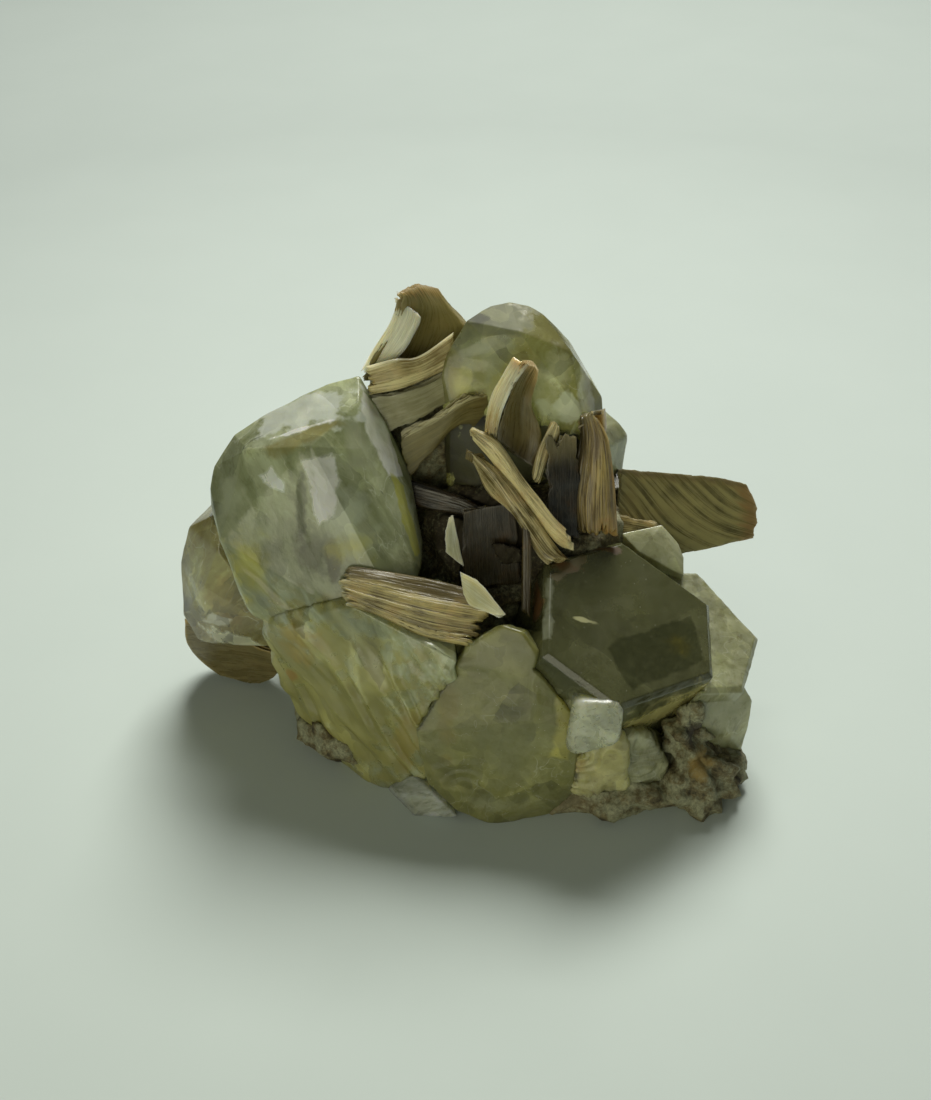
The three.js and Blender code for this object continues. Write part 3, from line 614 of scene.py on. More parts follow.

# The left crystal: clear, grown on the side of the large one, with brownish curved breaks inside and a pale green
# band below, with a painted highlight along that band.
left = beryl(
    "left_crystal", (0.31, 0.26, 0.085), (0.46, 0.42, 0.18), (0.17, 0.12, 0.035), 0.6, 0.12, CLEAR_DEPTH, 80,
    patches=[
        # near white low down, here and in the face below: the pale band and a painted highlight along its top
        ((-24.5, -1.2, 9.2), (5, 3, 1.4), (0.98, 1, 0.74), 0.9, 0.3, 0.7),
        ((-27.6, 1, 16.2), (1.7, 3, 4.5), (0.56, 0.56, 0.28), 0.55, 0.2, 0.4),
        ((-24.6, -1.4, 14.2), (2.6, 3, 3.4), (0.34, 0.25, 0.09), 0.6, 0.25, 0.6),
    ],
    faces=[
        ([(-27.5, 0.8, 10.2), (-26.1, -0.5, 12.4), (-23.5, -1.7, 12.6), (-24.8, -0.9, 10.8)],
         (0.95, 0.96, 0.8), 0.8, 0.2, 0.3),
    ],
    cloud_size=2.6, along=(0.6, -0.3, 0.9), stretch=2.5, veils=0.9, cracks=0.6, specks=0.3, milk=0.2,
)
grow("left_beryl", left, 0.3, 0.42, glassy_skin, soft=2)

# Pale crystals at the right and behind, and the broken white, grey, yellow and glassy ones at the foot, which
# fill the gaps between the large ones.


def broken_skin(p):
    """Rough broken lumps 2.4 mm across and 0.4 mm high."""
    return 0.26 * grain(p, 2.4, 15) + 0.08 * crag(p, 1.6, 16) + 0.14 * steps(p, 2.8, 2, 17)


pale = beryl(
    "pale_crystal", (0.40, 0.41, 0.22), (0.56, 0.57, 0.36), (0.22, 0.20, 0.08), 0.45, 0.16, (0.62, 0.64, 0.36), 120,
    cloud_size=3, along=(0.24, -0.31, 0.906), stretch=3, veils=0.6, specks=0.3, milk=0.3,
)
white = beryl(
    "white_crystal", (0.50, 0.52, 0.37), (0.64, 0.66, 0.50), (0.32, 0.31, 0.16), 0.4, 0.25, (0.7, 0.7, 0.5), 80,
    cloud_size=1.6, specks=0.2, milk=0.8,
)
yellowish = beryl(
    "yellowish_crystal", (0.52, 0.49, 0.21), (0.62, 0.59, 0.30), (0.32, 0.26, 0.09), 0.25, 0.3, (0.6, 0.58, 0.3), 80,
    patches=[((10.9, -17, 7), (1.1, 2, 1.4), (0.5, 0.32, 0.08), 0.5, 0.4, 0.2)], cloud_size=1.6, milk=0.8,
)
glassy = beryl(
    "glassy_crystal", (0.54, 0.57, 0.44), (0.76, 0.80, 0.68), (0.24, 0.26, 0.17), 0.5, 0.08, (0.7, 0.75, 0.6), 80,
    cloud_size=1.4, along=(0.8, -0.4, 0.5), stretch=4, veils=0.8,
)
grow("right_back_beryl", pale, 0.2, 0.4, striped_skin)
grow("top_back_beryl", pale, 0.25, 0.5, glassy_skin, soft=2)
grow("small_upper_beryl", pale, 0.2, 0.4, glassy_skin)
grow("small_white_beryl", white, 0.35, 0.3, etched_skin, soft=2, swell=0.55)
grow("small_grey_beryl", pale, 0.35, 0.3, broken_skin, soft=2, swell=0.65)
grow("small_yellow_beryl", yellowish, 0.35, 0.3, broken_skin, soft=2, swell=0.65)
grow("small_glassy_beryl", glassy, 0.12, 0.3, glassy_skin)


# ---------------------------------------------------------------- mica
# Muscovite: books and blades of thin bronze sheets that split apart and fray
# at their ends. Each stands in the pocket between the crystals.


def cubic(t):
    """The four weights of a smooth curve through four points, at t from 0 to 1 between the middle two."""
    return 0.5 * np.stack([-t + 2 * t**2 - t**3, 2 - 5 * t**2 + 3 * t**3, t + 4 * t**2 - 3 * t**3, t**3 - t**2])


def on_net(net, along, across):
    """Places on the smooth surface through a net of points, along and across from 0 to 1. Two more rows and
    columns carry the net straight on past its sides, so that the cubic weights have four of each everywhere."""
    net = np.asarray(net, float)
    net = np.concatenate([2 * net[:1] - net[1:2], net, 2 * net[-1:] - net[-2:-1]])
    net = np.concatenate([2 * net[:, :1] - net[:, 1:2], net, 2 * net[:, -1:] - net[:, -2:-1]], axis=1)
    place = []
    for t, count in ((along, net.shape[0] - 3), (across, net.shape[1] - 3)):
        low = np.clip(np.floor(t * count).astype(int), 0, count - 1)
        place.append((low, cubic(t * count - low)))
    (i, wi), (j, wj) = place
    return sum((wi[a] * wj[b])[..., None] * net[i + a, j + b] for a in range(4) for b in range(4))


def net_normals(net, along, across, step=0.01):
    """Normals of the surface through a net, from small steps along and across it."""
    there = on_net(net, along + step, across) - on_net(net, along - step, across)
    over = on_net(net, along, across + step) - on_net(net, along, across - step)
    out = np.cross(there, over)
    return out / np.maximum(np.linalg.norm(out, axis=-1, keepdims=True), 1e-9)


def net_size(net):
    """The mean length along and across a net."""
    net = np.asarray(net, float)
    return [np.linalg.norm(np.diff(net, axis=k), axis=2).sum(axis=k).mean() for k in (0, 1)]


def closed_sheets(front, back):
    """Faces of closed sheets: front and back are grids of places by sheet, row and column. Each sheet gets its two
    faces and four rims."""
    count, rows, columns = front.shape[:3]
    index = np.arange(2 * rows * columns).reshape(2, rows, columns)
    f, b = index

    def quads(*corners):
        return np.stack([corner.ravel() for corner in corners], axis=1)

    one = np.concatenate([
        quads(f[:-1, :-1], f[1:, :-1], f[1:, 1:], f[:-1, 1:]),
        quads(b[:-1, :-1], b[:-1, 1:], b[1:, 1:], b[1:, :-1]),
        quads(f[:-1, 0], b[:-1, 0], b[1:, 0], f[1:, 0]),
        quads(f[:-1, -1], f[1:, -1], b[1:, -1], b[:-1, -1]),
        quads(f[0, :-1], f[0, 1:], b[0, 1:], b[0, :-1]),
        quads(f[-1, :-1], b[-1, :-1], b[-1, 1:], f[-1, 1:]),
    ])
    faces = (one[None] + (np.arange(count) * index.size)[:, None, None]).reshape(-1, 4)
    return np.stack([front, back], axis=1).reshape(-1, 3), faces


def mica_piece(name, part, front, back, values, drawn, finish):
    """A mica piece, or a part of one, from closed sheets. values are the tone of each place and how far along and
    across its sheet it lies, and drawn is a flat map in millimetres along it."""
    points, faces = closed_sheets(front, back)
    made = dressed(name + part, "mica_" + name, finish, points + GROWTH_SHIFT, faces)
    for key, value in zip(("tone", "along", "across"), values):
        kept = made.data.attributes.new(key, "FLOAT", "POINT")
        kept.data.foreach_set("value", np.stack([value, value], axis=1).ravel())
    flat = made.data.uv_layers.new(name="flat")
    loops = np.empty(len(made.data.loops), np.int64)
    made.data.loops.foreach_get("vertex_index", loops)
    flat.data.foreach_set("uv", np.stack([drawn, drawn], axis=1).reshape(-1, 2)[loops].ravel())


MICA_IOR = 1.58
THREAD_CELL = 0.16, 0.05  # along and across the threads
THREAD_HEIGHT = 0.022
GROOVE_WIDTH = 0.035  # of the seams between leaves
RIM_ROUNDING, RIM_TAPER = 0.12, 0.25
SHEET_CELL = 0.2
SHEET_WAVE = 0.06


def fibres(name, net, thickness, finish, leaf=0.22, ragged=0.8, rough=0.16, seed=1, tone=(0.0, 1.0), part=""):
    """A book seen on the edges of its sheets, as one closed slab. Across it lie leaves of random widths about the
    leaf size, whose seams wander along it. Each leaf stands at its own height up to rough, and its ends stop short
    by up to ragged. On that lie fine threads: grain drawn out along the sheets."""
    random = np.random.default_rng(seed)
    length, width = net_size(net)
    rows, columns = max(12, int(length / THREAD_CELL[0])), max(8, int(width / THREAD_CELL[1]))
    s, t = np.meshgrid(np.linspace(0, 1, rows + 1), np.linspace(0, 1, columns + 1), indexing="ij")
    seams = np.cumsum(random.uniform(0.4, 1.4, int(5 * width / leaf) + 8) ** 3 * leaf) - leaf
    at = np.c_[(s * length).ravel(), (t * width).ravel(), np.full(s.size, seed)]

    def rolling(often, key):
        return grain(at * (*often, 1), 1.0, seed + key).reshape(s.shape)

    # The leaf that each place lies in, and the random values of every leaf.
    wander = 0.9 * leaf * rolling((0.22, 0.5), 0)
    own = np.searchsorted(seams, t * width + wander)
    count = own.max() + 1
    level, first, last, hue = random.random((4, count))
    tilt = random.uniform(-1, 1, count)
    # Its ends stop short.
    worn = 0.6 + 0.4 * rolling((0.1, 6), 2)
    start = ragged / length * (first[own] ** 2 * worn + 0.04)
    end = 1 - ragged / length * (last[own] ** 2 * worn + 0.04)
    along = start + (end - start) * s
    # Heights: its own level and tilt, a slow roll, the groove at its seam, threads, and rims turned down.
    thread = rolling((0.5, 9), 3) + 0.6 * rolling((1.2, 18), 4)
    slow = rolling((0.3, 0.8), 5)
    behind = t * width + wander - np.concatenate([[-9], seams])[own]
    cut = np.exp(-abs(behind) / GROOVE_WIDTH) * (level[own] > 0.45) * (0.5 + 0.5 * slow)
    height = rough * (0.45 * (level[own] - 0.5) + 0.5 * tilt[own] * (s - 0.5) + 0.8 * slow - 0.7 * cut)
    height = height + THREAD_HEIGHT * thread
    rim = np.minimum.reduce([s * length, (1 - s) * length, t * width, (1 - t) * width])
    height = height - 0.25 * thickness * np.exp(-rim / RIM_ROUNDING)
    place, out = on_net(net, along, t), net_normals(net, along, t)
    front = place + out * height[..., None]
    back = place - out * (thickness * 0.9 * np.clip(rim / RIM_TAPER, 0.35, 1))[..., None]
    shade = 0.5 + 0.6 * (hue[own] - 0.5) + 0.35 * slow + 0.16 * thread - 0.6 * cut
    shade = tone[0] + (tone[1] - tone[0]) * np.clip(shade, 0, 1)
    drawn = np.stack([along * length, t * width + 5.3 * hue[own]], axis=-1)
    mica_piece(name, part, front[None], back[None], (shade[None], along[None], t[None]), drawn[None], finish)


def leaves(name, net, thickness, finish, pitch=0.2, ragged=0.7, seed=1, part=""):
    """A book seen on its flat face: sheets one behind the other, each with its own ragged outline. The sheet's
    sides are drawn in by ragged times smooth random heights along them, and it is lifted by a slow wave."""
    random = np.random.default_rng(seed)
    length, width = net_size(net)
    count = max(2, int(thickness / pitch))
    rows, columns = max(8, int(length / SHEET_CELL)), max(8, int(width / SHEET_CELL))
    k, s, t = np.meshgrid(np.arange(count), np.linspace(0, 1, rows + 1), np.linspace(0, 1, columns + 1), indexing="ij")
    own = random.random((count, 5))[:, None, None]  # one for each side of a sheet, and one to spare

    def side(run, key):
        at = np.c_[run.ravel(), (k * 0.45 + key).ravel(), np.full(k.size, seed)]
        bite = 0.5 + 0.35 * grain(at, 1.5, seed + key) + 0.3 * grain(at, 0.5, seed + key + 1)
        bite = bite + 0.25 * np.floor(2.5 * grain(at, 1.1, seed + key + 2))
        return ragged * np.clip(bite, 0, 2).reshape(k.shape) * (0.35 + own[..., key])

    low, high = side(t * width, 0) / length, 1 - side(t * width, 1) / length
    along = low + (high - low) * s
    near, far = side(s * length, 2) / width, 1 - side(s * length, 3) / width
    across = near + (far - near) * t
    depth = thickness * (k + 0.15) / count
    at = np.c_[(along * length).ravel(), (across * width).ravel(), (0.25 * k).ravel()]
    swell = SHEET_WAVE * grain(at, 2.2, seed + 7) + 0.3 * SHEET_WAVE * grain(at, 0.7, seed + 8)
    swell = swell + 0.25 * SHEET_WAVE * grain(at * (0.15, 4, 1), 1.0, seed + 9)
    lift = swell.reshape(k.shape) - depth
    place, out = on_net(net, along, across), net_normals(net, along, across)
    rim = np.clip(6 * np.minimum.reduce([s, 1 - s, t, 1 - t]) + 0.25, 0, 1)
    thin = thickness / count * 0.8 * rim
    front = place + out * lift[..., None]
    back = place + out * (lift - thin)[..., None]
    shade = np.broadcast_to(np.clip(0.5 + 0.9 * (own[..., 2] - 0.5), 0, 1), s.shape)
    drawn = np.stack([along * length, across * width + 3 * k], axis=-1)
    mica_piece(name, part, front, back, (shade, along, across), drawn, finish)


def mica(name, light, dark, rust, roughness=0.32, lines=8.0, stain=0.5, bands=(), turn=0.0, run=0.2,
         crisp=0.2, glow=0.3):
    """A mica finish: each sheet has its own tone between light and dark, with fine lines along the blade, turned
    by an angle and the longer the less they run, and rusty stains in patches. bands are (attribute, from, full,
    colour, share): a colour that sets in along or across the sheet, with a wandering border. The lines are
    sharper the less crisp is, and glow is the share of light that spreads through the sheets."""
    made, tree, where = new_material(name)
    tone = add(tree, "Attribute", attribute_name="tone").outputs["Fac"]
    flat = add(tree, "UVMap", uv_map="flat").outputs[0]
    flat = add(tree, "Mapping", Vector=flat, Rotation=(0, 0, turn)).outputs[0]
    drawn = add(tree, "Mapping", Vector=flat, Scale=(run, lines, 1)).outputs[0]
    streak = noise(tree, drawn, Scale=1.0, Detail=8.0, Roughness=0.68)
    blotch = noise(tree, where, Scale=0.4, Detail=6.0, Roughness=0.6)

    def by_streak(low, high):
        return spread(tree, streak, 0.3, 0.7, low, high)

    share = spread(tree, streak, 0.5 - crisp, 0.5 + crisp, -0.45, 0.45)
    cloudy = spread(tree, blotch, 0.35, 0.65, -0.25, 0.25)
    share = reckon(tree, "ADD", reckon(tree, "ADD", tone, share), cloudy, clamp=True)
    colour = mix(tree, share, dark, light)
    colour = mix(tree, spread(tree, blotch, 0.52, 0.7, 0.0, stain), colour, rust)
    if bands:
        wobble, level = by_streak(-0.09, 0.09), by_streak(0.6, 1.25)
    for key, start, full, tint, part in bands:
        place = add(tree, "Attribute", attribute_name=key).outputs["Fac"]
        place = spread(tree, reckon(tree, "ADD", place, wobble), start, full, 0.0, part, kind="SMOOTHSTEP")
        colour = mix(tree, place, colour, vector(tree, "SCALE", tint, Scale=level))
    bump = add(tree, "Bump", Height=streak, Strength=0.6, Distance=0.05 * MM).outputs[0]
    leaf = add(
        tree, "BsdfPrincipled", Base_Color=colour, Roughness=by_streak(roughness - 0.1, roughness + 0.15),
        Normal=bump, IOR=MICA_IOR, Subsurface_Weight=glow, Subsurface_Radius=(1.0, 0.8, 0.5),
        Subsurface_Scale=1.2 * MM,
    ).outputs[0]
    add(tree, "OutputMaterial", Surface=leaf)
    return made


RUST = (0.3, 0.12, 0.025)
BROWN = (0.12, 0.075, 0.02)
ORANGE = (0.58, 0.38, 0.14)
# painted glint: near-white gold laid along the edges of the curled blades
PAINTED_GLINT = (0.92, 0.88, 0.62)
HOLLOW = dict(roughness=0.28, lines=2.5, stain=0.2)  # the dull inner side of a curled blade
tan = mica("tan_mica", (0.88, 0.75, 0.38), (0.12, 0.09, 0.025), RUST, roughness=0.26, stain=0.4, crisp=0.14)
gold = mica("gold_mica", (1, 0.97, 0.72), (0.7, 0.62, 0.32), RUST, roughness=0.25, stain=0.2, glow=0.8)
dark_leaf = mica("dark_mica", (0.07, 0.052, 0.025), (0.012, 0.01, 0.007), (0.12, 0.05, 0.02), roughness=0.25,
                 stain=0.3)

# The thick book low in front, seen on the edges of its sheets.
FRONT_BOOK = [
    [[-11.1, -11.2, 22.3], [-12, -9.6, 23.5], [-11.1, -8.2, 24.5]],
    [[-7.7, -12, 21], [-7.5, -10.6, 22.7], [-6.6, -8.6, 24]],
    [[-3.9, -13.4, 20], [-2.8, -11.6, 22], [-1.9, -9.4, 23.5]],
    [[0.4, -14.2, 19.6], [2.5, -12.2, 21.3], [2.6, -10.6, 22.8]],
]
front_book = mica("front_book_mica", (0.6, 0.51, 0.21), (0.12, 0.09, 0.028), RUST, stain=0.35, crisp=0.14, bands=[
    ("along", 0.08, 0, (0.7, 0.68, 0.48), 0.6),
    ("across", 0.64, 0.8, (0.13, 0.1, 0.04), 0.8),
])
fibres("front_book", FRONT_BOOK, 2.2, front_book, ragged=1.6, rough=0.24, seed=3)

# Two narrow blades that cross the pocket from the upper left, one over the other: one mica in two tones, the
# upper blade painted lighter as lit and the lower one painted darker as shaded.
UPPER_DIAGONAL = [
    [[0.3, -1, 33.9], [0.3, -1.2, 34.8], [0.6, -0.6, 35.1]],
    [[3, -2.5, 31.2], [2.9, -2.4, 33.1], [3.2, -1.6, 33.9]],
    [[5.9, -4, 27.8], [5.6, -3.8, 29.6], [5.8, -3, 30.5]],
    [[8.5, -5.1, 24.5], [7.8, -4.8, 27], [8, -4, 27.7]],
    [[10.3, -5.6, 23.8], [10, -5.6, 25], [9.9, -5, 25.9]],
]
# tone raised: painted light on the upper blade
fibres("upper_diagonal", UPPER_DIAGONAL, 1.2, tan, leaf=0.4, ragged=1.4, rough=0.2,
       seed=5, tone=(0.3, 1.2))

LOWER_DIAGONAL = [
    [[0.5, -1.8, 32.1], [0.3, -2.2, 33.2], [0.2, -1.6, 33.4]],
    [[2, -2.8, 28.7], [2.7, -3.6, 31], [3.2, -2.8, 31.5]],
    [[4.4, -4.6, 27.6], [5.1, -5.2, 27.9], [6.1, -4.2, 28.2]],
    [[6.5, -5.8, 24.2], [7.4, -6.2, 24.5], [8.6, -5.3, 24.7]],
    [[7.8, -6.4, 22.8], [8.8, -6.6, 23.6], [10.2, -6.2, 23.5]],
]
# tone lowered: painted shade on the lower blade
fibres("lower_diagonal", LOWER_DIAGONAL, 1.2, tan, leaf=0.4, ragged=1.4, rough=0.2,
       seed=6, tone=(-0.4, 0.62))

# The blade that stands up and curls over at its tip: a dull hollow side and a bright edge with a painted glint.
UPRIGHT_CURL = [
    [[6.6, -0.4, 30], [4.8, -0.2, 31.5], [2.8, -1.8, 34.4], [1.7, -1.2, 34.5]],
    [[7.3, 0.6, 31.9], [5.2, 0.6, 33], [3.2, -1.4, 36.5], [1.9, -0.6, 36.4]],
    [[7.2, 1.2, 33.6], [5.3, 1.2, 35.6], [3.9, -1, 38.4], [2.4, -0.2, 38.3]],
    [[6.3, 1.6, 36.1], [5.6, 1.2, 37.8], [4.7, -0.8, 40.1], [3.3, 0.2, 39.9]],
    [[6.9, 0.8, 39.9], [6.5, 0.4, 40.7], [5.7, -0.4, 41.6], [4.4, 1, 41.7]],
]
upright_hollow = mica("upright_hollow_mica", (0.26, 0.21, 0.075), (0.15, 0.115, 0.035), RUST, **HOLLOW, bands=[
    ("along", 0.35, 0, (0.09, 0.065, 0.02), 0.8),
    ("along", 0.86, 0.98, ORANGE, 0.9),
])
upright_edge = mica("upright_edge_mica", (1, 0.94, 0.64), (0.56, 0.44, 0.18), RUST, 0.22, stain=0.3, glow=0.8, bands=[
    # painted glint along the edge
    ("along", 0.2, 0.4, PAINTED_GLINT, 0.6),
    ("along", 0.3, 0, (0.3, 0.2, 0.06), 0.7),
    ("along", 0.84, 0.98, ORANGE, 0.9),
])
leaves("upright_curl", [row[:3] for row in UPRIGHT_CURL], 0.8, upright_hollow, ragged=0.4, seed=8, part="_face")
fibres("upright_curl", [row[2:] for row in UPRIGHT_CURL], 0.6, upright_edge, ragged=0.7, rough=0.14, seed=9,
       part="_edge")

# The blade at the upper left that curls round itself, bright on its edge, with a painted glint along it.
CURLED_BLADE = [
    [[-8.1, 4.8, 37.6], [-10.3, 5.2, 37], [-6.9, 8.6, 35.1], [-2.5, 9.6, 36.1]],
    [[-6, 4.8, 39.7], [-8.9, 5.2, 39.7], [-5.2, 9, 38], [-0.9, 10, 38.5]],
    [[-4.9, 5.2, 41.4], [-7.2, 5.8, 42.3], [-4.4, 9.4, 40.1], [0.2, 10, 40]],
    [[-4.2, 6, 42.8], [-6.5, 6.6, 44.1], [-3.9, 9, 42.6], [-1.4, 9.8, 42.2]],
    [[-5, 6.6, 43.5], [-6.6, 7.2, 44.6], [-4.9, 8.4, 45.2], [-3, 9.4, 44.3]],
]
curled_hollow = mica("curled_hollow_mica", (0.34, 0.29, 0.11), (0.19, 0.155, 0.05), RUST, **HOLLOW, bands=[
    ("along", 0.3, 0, (0.16, 0.12, 0.04), 0.7),
    ("along", 0.84, 0.99, ORANGE, 0.9),
])
curled_edge = mica("curled_edge_mica", (1, 0.97, 0.72), (0.74, 0.64, 0.34), ORANGE, 0.2, stain=0.1, glow=0.8, bands=[
    # painted glint along the edge
    ("along", 0.05, 0.22, PAINTED_GLINT, 0.95),
    ("along", 0.82, 0.99, ORANGE, 0.8),
])
leaves("curled_blade", [row[1:] for row in CURLED_BLADE], 0.8, curled_hollow, ragged=0.4, seed=10, part="_face")
fibres("curled_blade", [row[:2] for row in CURLED_BLADE], 0.6, curled_edge, ragged=0.7, rough=0.16, seed=11,
       tone=(0.3, 1.2), part="_edge")

# A thin blade behind the pocket, seen on its edge.
THIN_EDGE = [
    [[8.5, 0.6, 34.8], [8.9, 0.9, 34.2]],
    [[7.7, 0, 33.6], [9, 0.6, 33]],
    [[7.1, -0.8, 32.2], [8.2, 0, 31.4]],
    [[6.5, -2, 29.6], [7.1, -1.6, 28.8]],
]
fibres("thin_edge", THIN_EDGE, 0.8, tan, ragged=0.6, rough=0.1, seed=12)

# The rusty book that stands at the right of the pocket.
RUST_BOOK = [
    [[10.8, 2.2, 34.8], [11.5, 1.6, 35.2], [12, 1.2, 35.5], [12.6, 1.6, 34.7]],
    [[10.6, 1.2, 32.5], [11.9, 0.6, 33], [12.9, 0.2, 33.3], [13.6, 0.8, 32.8]],
    [[10.2, 0.2, 29.7], [11.8, -0.6, 30.2], [13.3, -0.8, 30.2], [14.4, -0.2, 29.8]],
    [[10, -1, 26.4], [11.6, -1.8, 27], [13.5, -2, 27.1], [14.8, -1.2, 26.6]],
    [[10.5, -2.2, 23.5], [11.8, -3, 23.8], [13.5, -3.2, 23.6], [15.1, -2.4, 23.2]],
]
rust_book = mica("rust_book_mica", (0.54, 0.41, 0.145), (0.14, 0.09, 0.025), RUST, stain=0.75, crisp=0.14, bands=[
    ("across", 0.42, 0.12, (0.045, 0.035, 0.014), 0.95),
    ("across", 0.82, 0.97, ORANGE, 0.6),
    ("along", 0.14, 0, (0.22, 0.2, 0.1), 0.7),
])
fibres("rust_book", RUST_BOOK, 2.4, rust_book, leaf=0.3, ragged=1.4, rough=0.28, seed=13)

# The broad blade that leans in from the left, with a light upper edge, partly painted light, and painted shadow on
# its lower part.
BROAD_BLADE = [
    [[-5.6, 1.2, 27.8], [-6.1, 1.5, 30.4], [-6.3, 1.8, 32.5]],
    [[-3.1, 1.7, 30.6], [-2.6, 1.8, 32.5], [-2.6, 1.9, 34.6]],
    [[-0.9, 2.4, 32.7], [-0.2, 2.4, 34.3], [0.1, 2.3, 36.3]],
    [[1.9, 3, 32.7], [2.1, 3, 34.7], [2.2, 3, 36.5]],
]
broad_blade = mica("broad_blade_mica", (0.27, 0.23, 0.08), (0.115, 0.09, 0.03), BROWN, lines=3, stain=0.4, bands=[
    # a lighter upper edge: its own tan, brightened further as painted light
    ("across", 0.8, 0.95, (0.62, 0.56, 0.3), 0.8),
    # painted shadow on its lower part
    ("across", 0.35, 0, (0.12, 0.09, 0.03), 0.6),
])
leaves("broad_blade", BROAD_BLADE, 1.2, broad_blade, seed=14, ragged=0.5)

# Two plates below the curled blade: a grey one, and a ragged one on it.
GREY_PLATE = [
    [[-7.6, 2, 32.4], [-9.2, 3, 35.9]],
    [[-4.4, 2.8, 33.6], [-5.3, 3.4, 36.4]],
    [[-0.6, 4.2, 35.2], [-1.2, 4.8, 37.8]],
]
grey_plate = mica("grey_plate_mica", (0.52, 0.49, 0.28), (0.28, 0.26, 0.13), BROWN, 0.25, lines=2, stain=0.2)
leaves("grey_plate", GREY_PLATE, 1.3, grey_plate, seed=15, ragged=0.4)

RAGGED_PLATE = [
    [[-9.2, 2.8, 36.2], [-9.6, 3.4, 38.9]],
    [[-6.1, 3.2, 36.7], [-6.6, 3.8, 39.6]],
    [[-3.7, 4, 37.3], [-4.3, 4.6, 39.5]],
    [[-1.2, 4.8, 38.2], [-1, 5.8, 41.4]],
]
ragged_plate = mica("ragged_plate_mica", (0.86, 0.76, 0.38), (0.28, 0.21, 0.07), ORANGE, 0.24, lines=5,
                    stain=0.4, bands=[("across", 0.86, 0.97, (0.85, 0.8, 0.52), 0.7)])
fibres("ragged_plate", RAGGED_PLATE, 1.1, ragged_plate, leaf=0.5, ragged=1.2, rough=0.22, seed=16)

# The dark stack at the left of the pocket.
DARK_STACK = [
    [[-5.9, 0.2, 25.6], [-6.5, 1.4, 27.8]],
    [[-3.4, -0.6, 25.3], [-3.1, 0.6, 27.3]],
    [[-0.7, -1.2, 25.2], [0, -0.4, 26.6]],
    [[2.9, -2.4, 24.7], [2.9, -1.6, 25.6]],
]
fibres("dark_stack", DARK_STACK, 1.2, dark_leaf, ragged=1.2, rough=0.16, seed=17)

# A bright flake in the pocket.
UPPER_FLAKE = [
    [[-1.6, -5.2, 27.8], [-1.2, -5.2, 28.1]],
    [[-1.9, -6.2, 26.2], [-0.6, -6.2, 25.4]],
    [[-1.8, -7, 24.9], [-0.1, -7.4, 23.5]],
]
leaves("upper_flake", UPPER_FLAKE, 0.4, gold, seed=18, ragged=0.15)

# A thin dark sheet that stands on its end beside the right crystal.
THIN_UPRIGHT = [
    [[5.4, -5.4, 27.4], [6.1, -5.6, 26.9]],
    [[5.3, -7.6, 23.3], [6.2, -7.4, 24]],
    [[5.3, -9.6, 19.9], [6.1, -10, 19.4]],
]
thin_upright = mica("thin_upright_mica", (0.09, 0.068, 0.022), (0.05, 0.035, 0.012), RUST, stain=0.5)
fibres("thin_upright", THIN_UPRIGHT, 0.7, thin_upright, ragged=0.5, rough=0.08, seed=19)

# A bright flake at the end of the front book.
LOWER_FLAKE = [
    [[-0.2, -12, 23.8], [-0.5, -10.6, 25.5]],
    [[0.6, -12.9, 23.1], [1.4, -11.2, 24.6]],
    [[3.2, -13.2, 22.3], [3.8, -12.6, 22]],
]
leaves("lower_flake", LOWER_FLAKE, 0.5, gold, seed=20, ragged=0.15)

# The fan that stands out to the right, with slanting growth stripes.
RIGHT_FAN = [
    [[15.6, 3.6, 19.9], [15.7, 5.4, 22.4], [15.8, 7.3, 25]],
    [[19.6, 2.8, 17.1], [20, 5.2, 20.4], [20.6, 7.9, 24]],
    [[24.2, 3.9, 17], [24.9, 6, 19.8], [25.5, 8.6, 23.1]],
    [[30.2, 5.6, 17.3], [30.6, 7.2, 19.4], [29.4, 8.8, 22]],
]
fan = mica("fan_mica", (0.35, 0.31, 0.12), (0.085, 0.075, 0.025), (0.2, 0.13, 0.04), 0.26, lines=1.4, stain=0.3,
           turn=0.55, run=0.03, crisp=0.07, bands=[
    ("along", 0.86, 0.97, (0.26, 0.15, 0.05), 0.8),
    ("across", 0.9, 0.98, (0.1, 0.07, 0.025), 0.8),
])
leaves("right_fan", RIGHT_FAN, 0.9, fan, seed=21, ragged=0.3)

# The book under the left crystal, on which the specimen leans.
LEFT_BOOK = [
    [[-30, 3.2, 8.4], [-27, 2, 8], [-20.2, 0.2, 6]],
    [[-30.2, 3.2, 5.4], [-26, 2, 4.8], [-20.2, 0.3, 4.2]],
    [[-29.2, 3.2, 2.8], [-25, 2, 2.4], [-20.5, 0.4, 2.6]],
    [[-27, 2.6, 0.9], [-24, 1.8, 0.5], [-22.4, 1.2, 0.9]],
]
left_book = mica("left_book_mica", (0.25, 0.21, 0.085), (0.12, 0.095, 0.03), BROWN, 0.26, lines=1.2, stain=0.4,
                 turn=1.3, bands=[("along", 0.1, 0, (0.4, 0.28, 0.08), 0.8)])
leaves("left_book", LEFT_BOOK, 3, left_book, pitch=0.4, seed=22, ragged=0.2)


def flat_net(root, tip, across, width):
    """The corners of a flat blade from root to tip, whose width lies along across."""
    side = np.asarray(across, float) / np.linalg.norm(across)
    return [[np.asarray(end) + side * half * wide for half in (-0.5, 0.5)] for end, wide in zip((root, tip), width)]


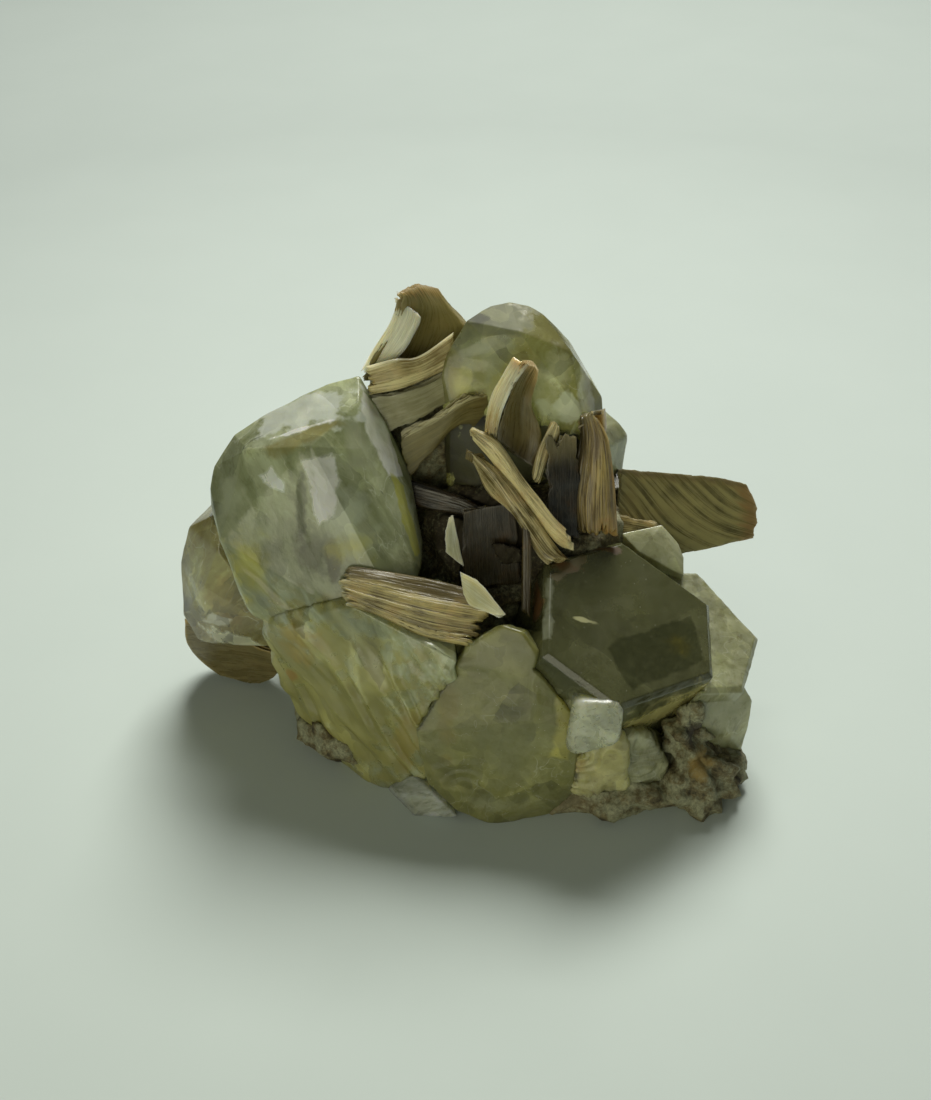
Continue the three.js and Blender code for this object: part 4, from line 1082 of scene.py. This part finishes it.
# Plain plates in the pocket and behind the right crystal.
dark_plate = mica("dark_plate_mica", (0.08, 0.06, 0.025), (0.014, 0.012, 0.008), (0.14, 0.06, 0.02), 0.25,
                  stain=0.3, bands=[("along", 0.36, 0.1, (0.2, 0.17, 0.08), 0.85)])
leaves("dark_plate", flat_net([9.6, -2.9, 23.4], [9.2, 0.3, 33.6], [1, 0.2, 0], [3.4, 3.4])[::-1],
       0.6, dark_plate, seed=23, ragged=1)
leaves("pocket_plate", flat_net([2.6, -4.7, 19], [2.2, -2.5, 27], [1, 0.1, 0.1], [6, 5])[::-1],
       0.7, dark_leaf, seed=24, ragged=0.3)
leaves("right_upper_plate", flat_net([15, 8, 23.2], [23.4, 8.8, 22.6], [0, 0.9, 0.3], [3, 1.2]),
       0.5, fan, seed=25, ragged=0.3)
leaves("right_lower_plate", flat_net([14.6, 2.8, 20.4], [19.4, 3, 19.6], [0.2, 0.5, 0.8], [3.6, 2.8]),
       0.8, tan, seed=26, ragged=0.4)


# ---------------------------------------------------------------- matrix
# The rock that all of it grew on: a crumbly mix of feldspar, quartz and fine
# mica, grey-brown and fibrous, broken flat below, with rusty and dark spots. Its
# part in the pocket and the front of its foot carry painted shade.


def rock_skin(p):
    """Crags 2.4 mm across and 0.35 mm high, drawn out steeply like fibres, and fine grit. The knob before the
    pocket's dark plate is worn down by 0.9 mm, and the base stays flat."""
    steep = drawn_out(p, (0.35, -0.2, 0.9), 3)
    worn = 0.9 * np.exp(-(((p - (4.3, -4.2, 23.6)) / 2.2) ** 2).sum(axis=1))
    rough = 0.32 * crag(steep, 2.0, 31) + 0.12 * grain(p, 0.8, 35) + 0.10 * grain(steep, 0.35, 36) - worn
    return np.where(p[:, 2] > BASE_HEIGHT, 0.1 + rough, 0)


ROCK_RAMP = ((0.36, (0.06, 0.05, 0.025, 1)), (0.45, (0.18, 0.15, 0.07, 1)),
             (0.54, (0.28, 0.28, 0.17, 1)), (0.66, (0.34, 0.34, 0.21, 1)))
ROCK_STAINS_AND_SHADE = (  # place, reach, colour, share
    # painted shade: the rock in the dark pocket
    ((3, -2, 23.5), (11, 6, 9), (0.035, 0.026, 0.012), 0.95),
    ((23, -16.2, 6), (1.7, 3, 1.7), (0.36, 0.24, 0.06), 0.65),
    ((22.4, -15, 8.6), (1.4, 3, 1.6), (0.03, 0.02, 0.012), 0.85),
    # painted shade along the front of the foot
    ((8, -16, 1.5), (8, 3, 2), (0.2, 0.15, 0.07), 0.5),
)
ROCK_STEP = 0.62
BASE_HEIGHT = 0.05  # up to here it is the flat break

rock, tree, where = new_material("rock")
coarse = noise(tree, where, Scale=0.55, Detail=8.0, Roughness=0.7)
fine = noise(tree, where, Scale=2.6, Detail=8.0, Roughness=0.75)
colour = add(tree, "ValToRGB", coarse).outputs[0]
ramp = colour.node.color_ramp.elements
ramp[0].position, ramp[1].position = ROCK_RAMP[0][0], ROCK_RAMP[-1][0]
for position, _ in ROCK_RAMP[1:-1]:
    ramp.new(position)
for element, (_, tint) in zip(ramp, ROCK_RAMP):
    element.color = tint
colour = vector(tree, "SCALE", colour, Scale=spread(tree, fine, 0.35, 0.7, 0.5, 1.5))
wander = spread(tree, fine, 0.3, 0.7, -1.0, 1.0)
for place, reach, tint, share in ROCK_STAINS_AND_SHADE:
    inside = reckon(tree, "MULTIPLY", patch(tree, where, wander, place, reach, 0.3, 0.5), share)
    colour = mix(tree, inside, colour, tint)
bump = add(tree, "Bump", Height=fine, Strength=0.8, Distance=0.15 * MM).outputs[0]
surface = add(tree, "BsdfPrincipled", Base_Color=colour, Roughness=0.75, Normal=bump).outputs[0]
add(tree, "OutputMaterial", Surface=surface)
grow("matrix", rock, 0, ROCK_STEP, rock_skin, swell=0, name="rock_base")
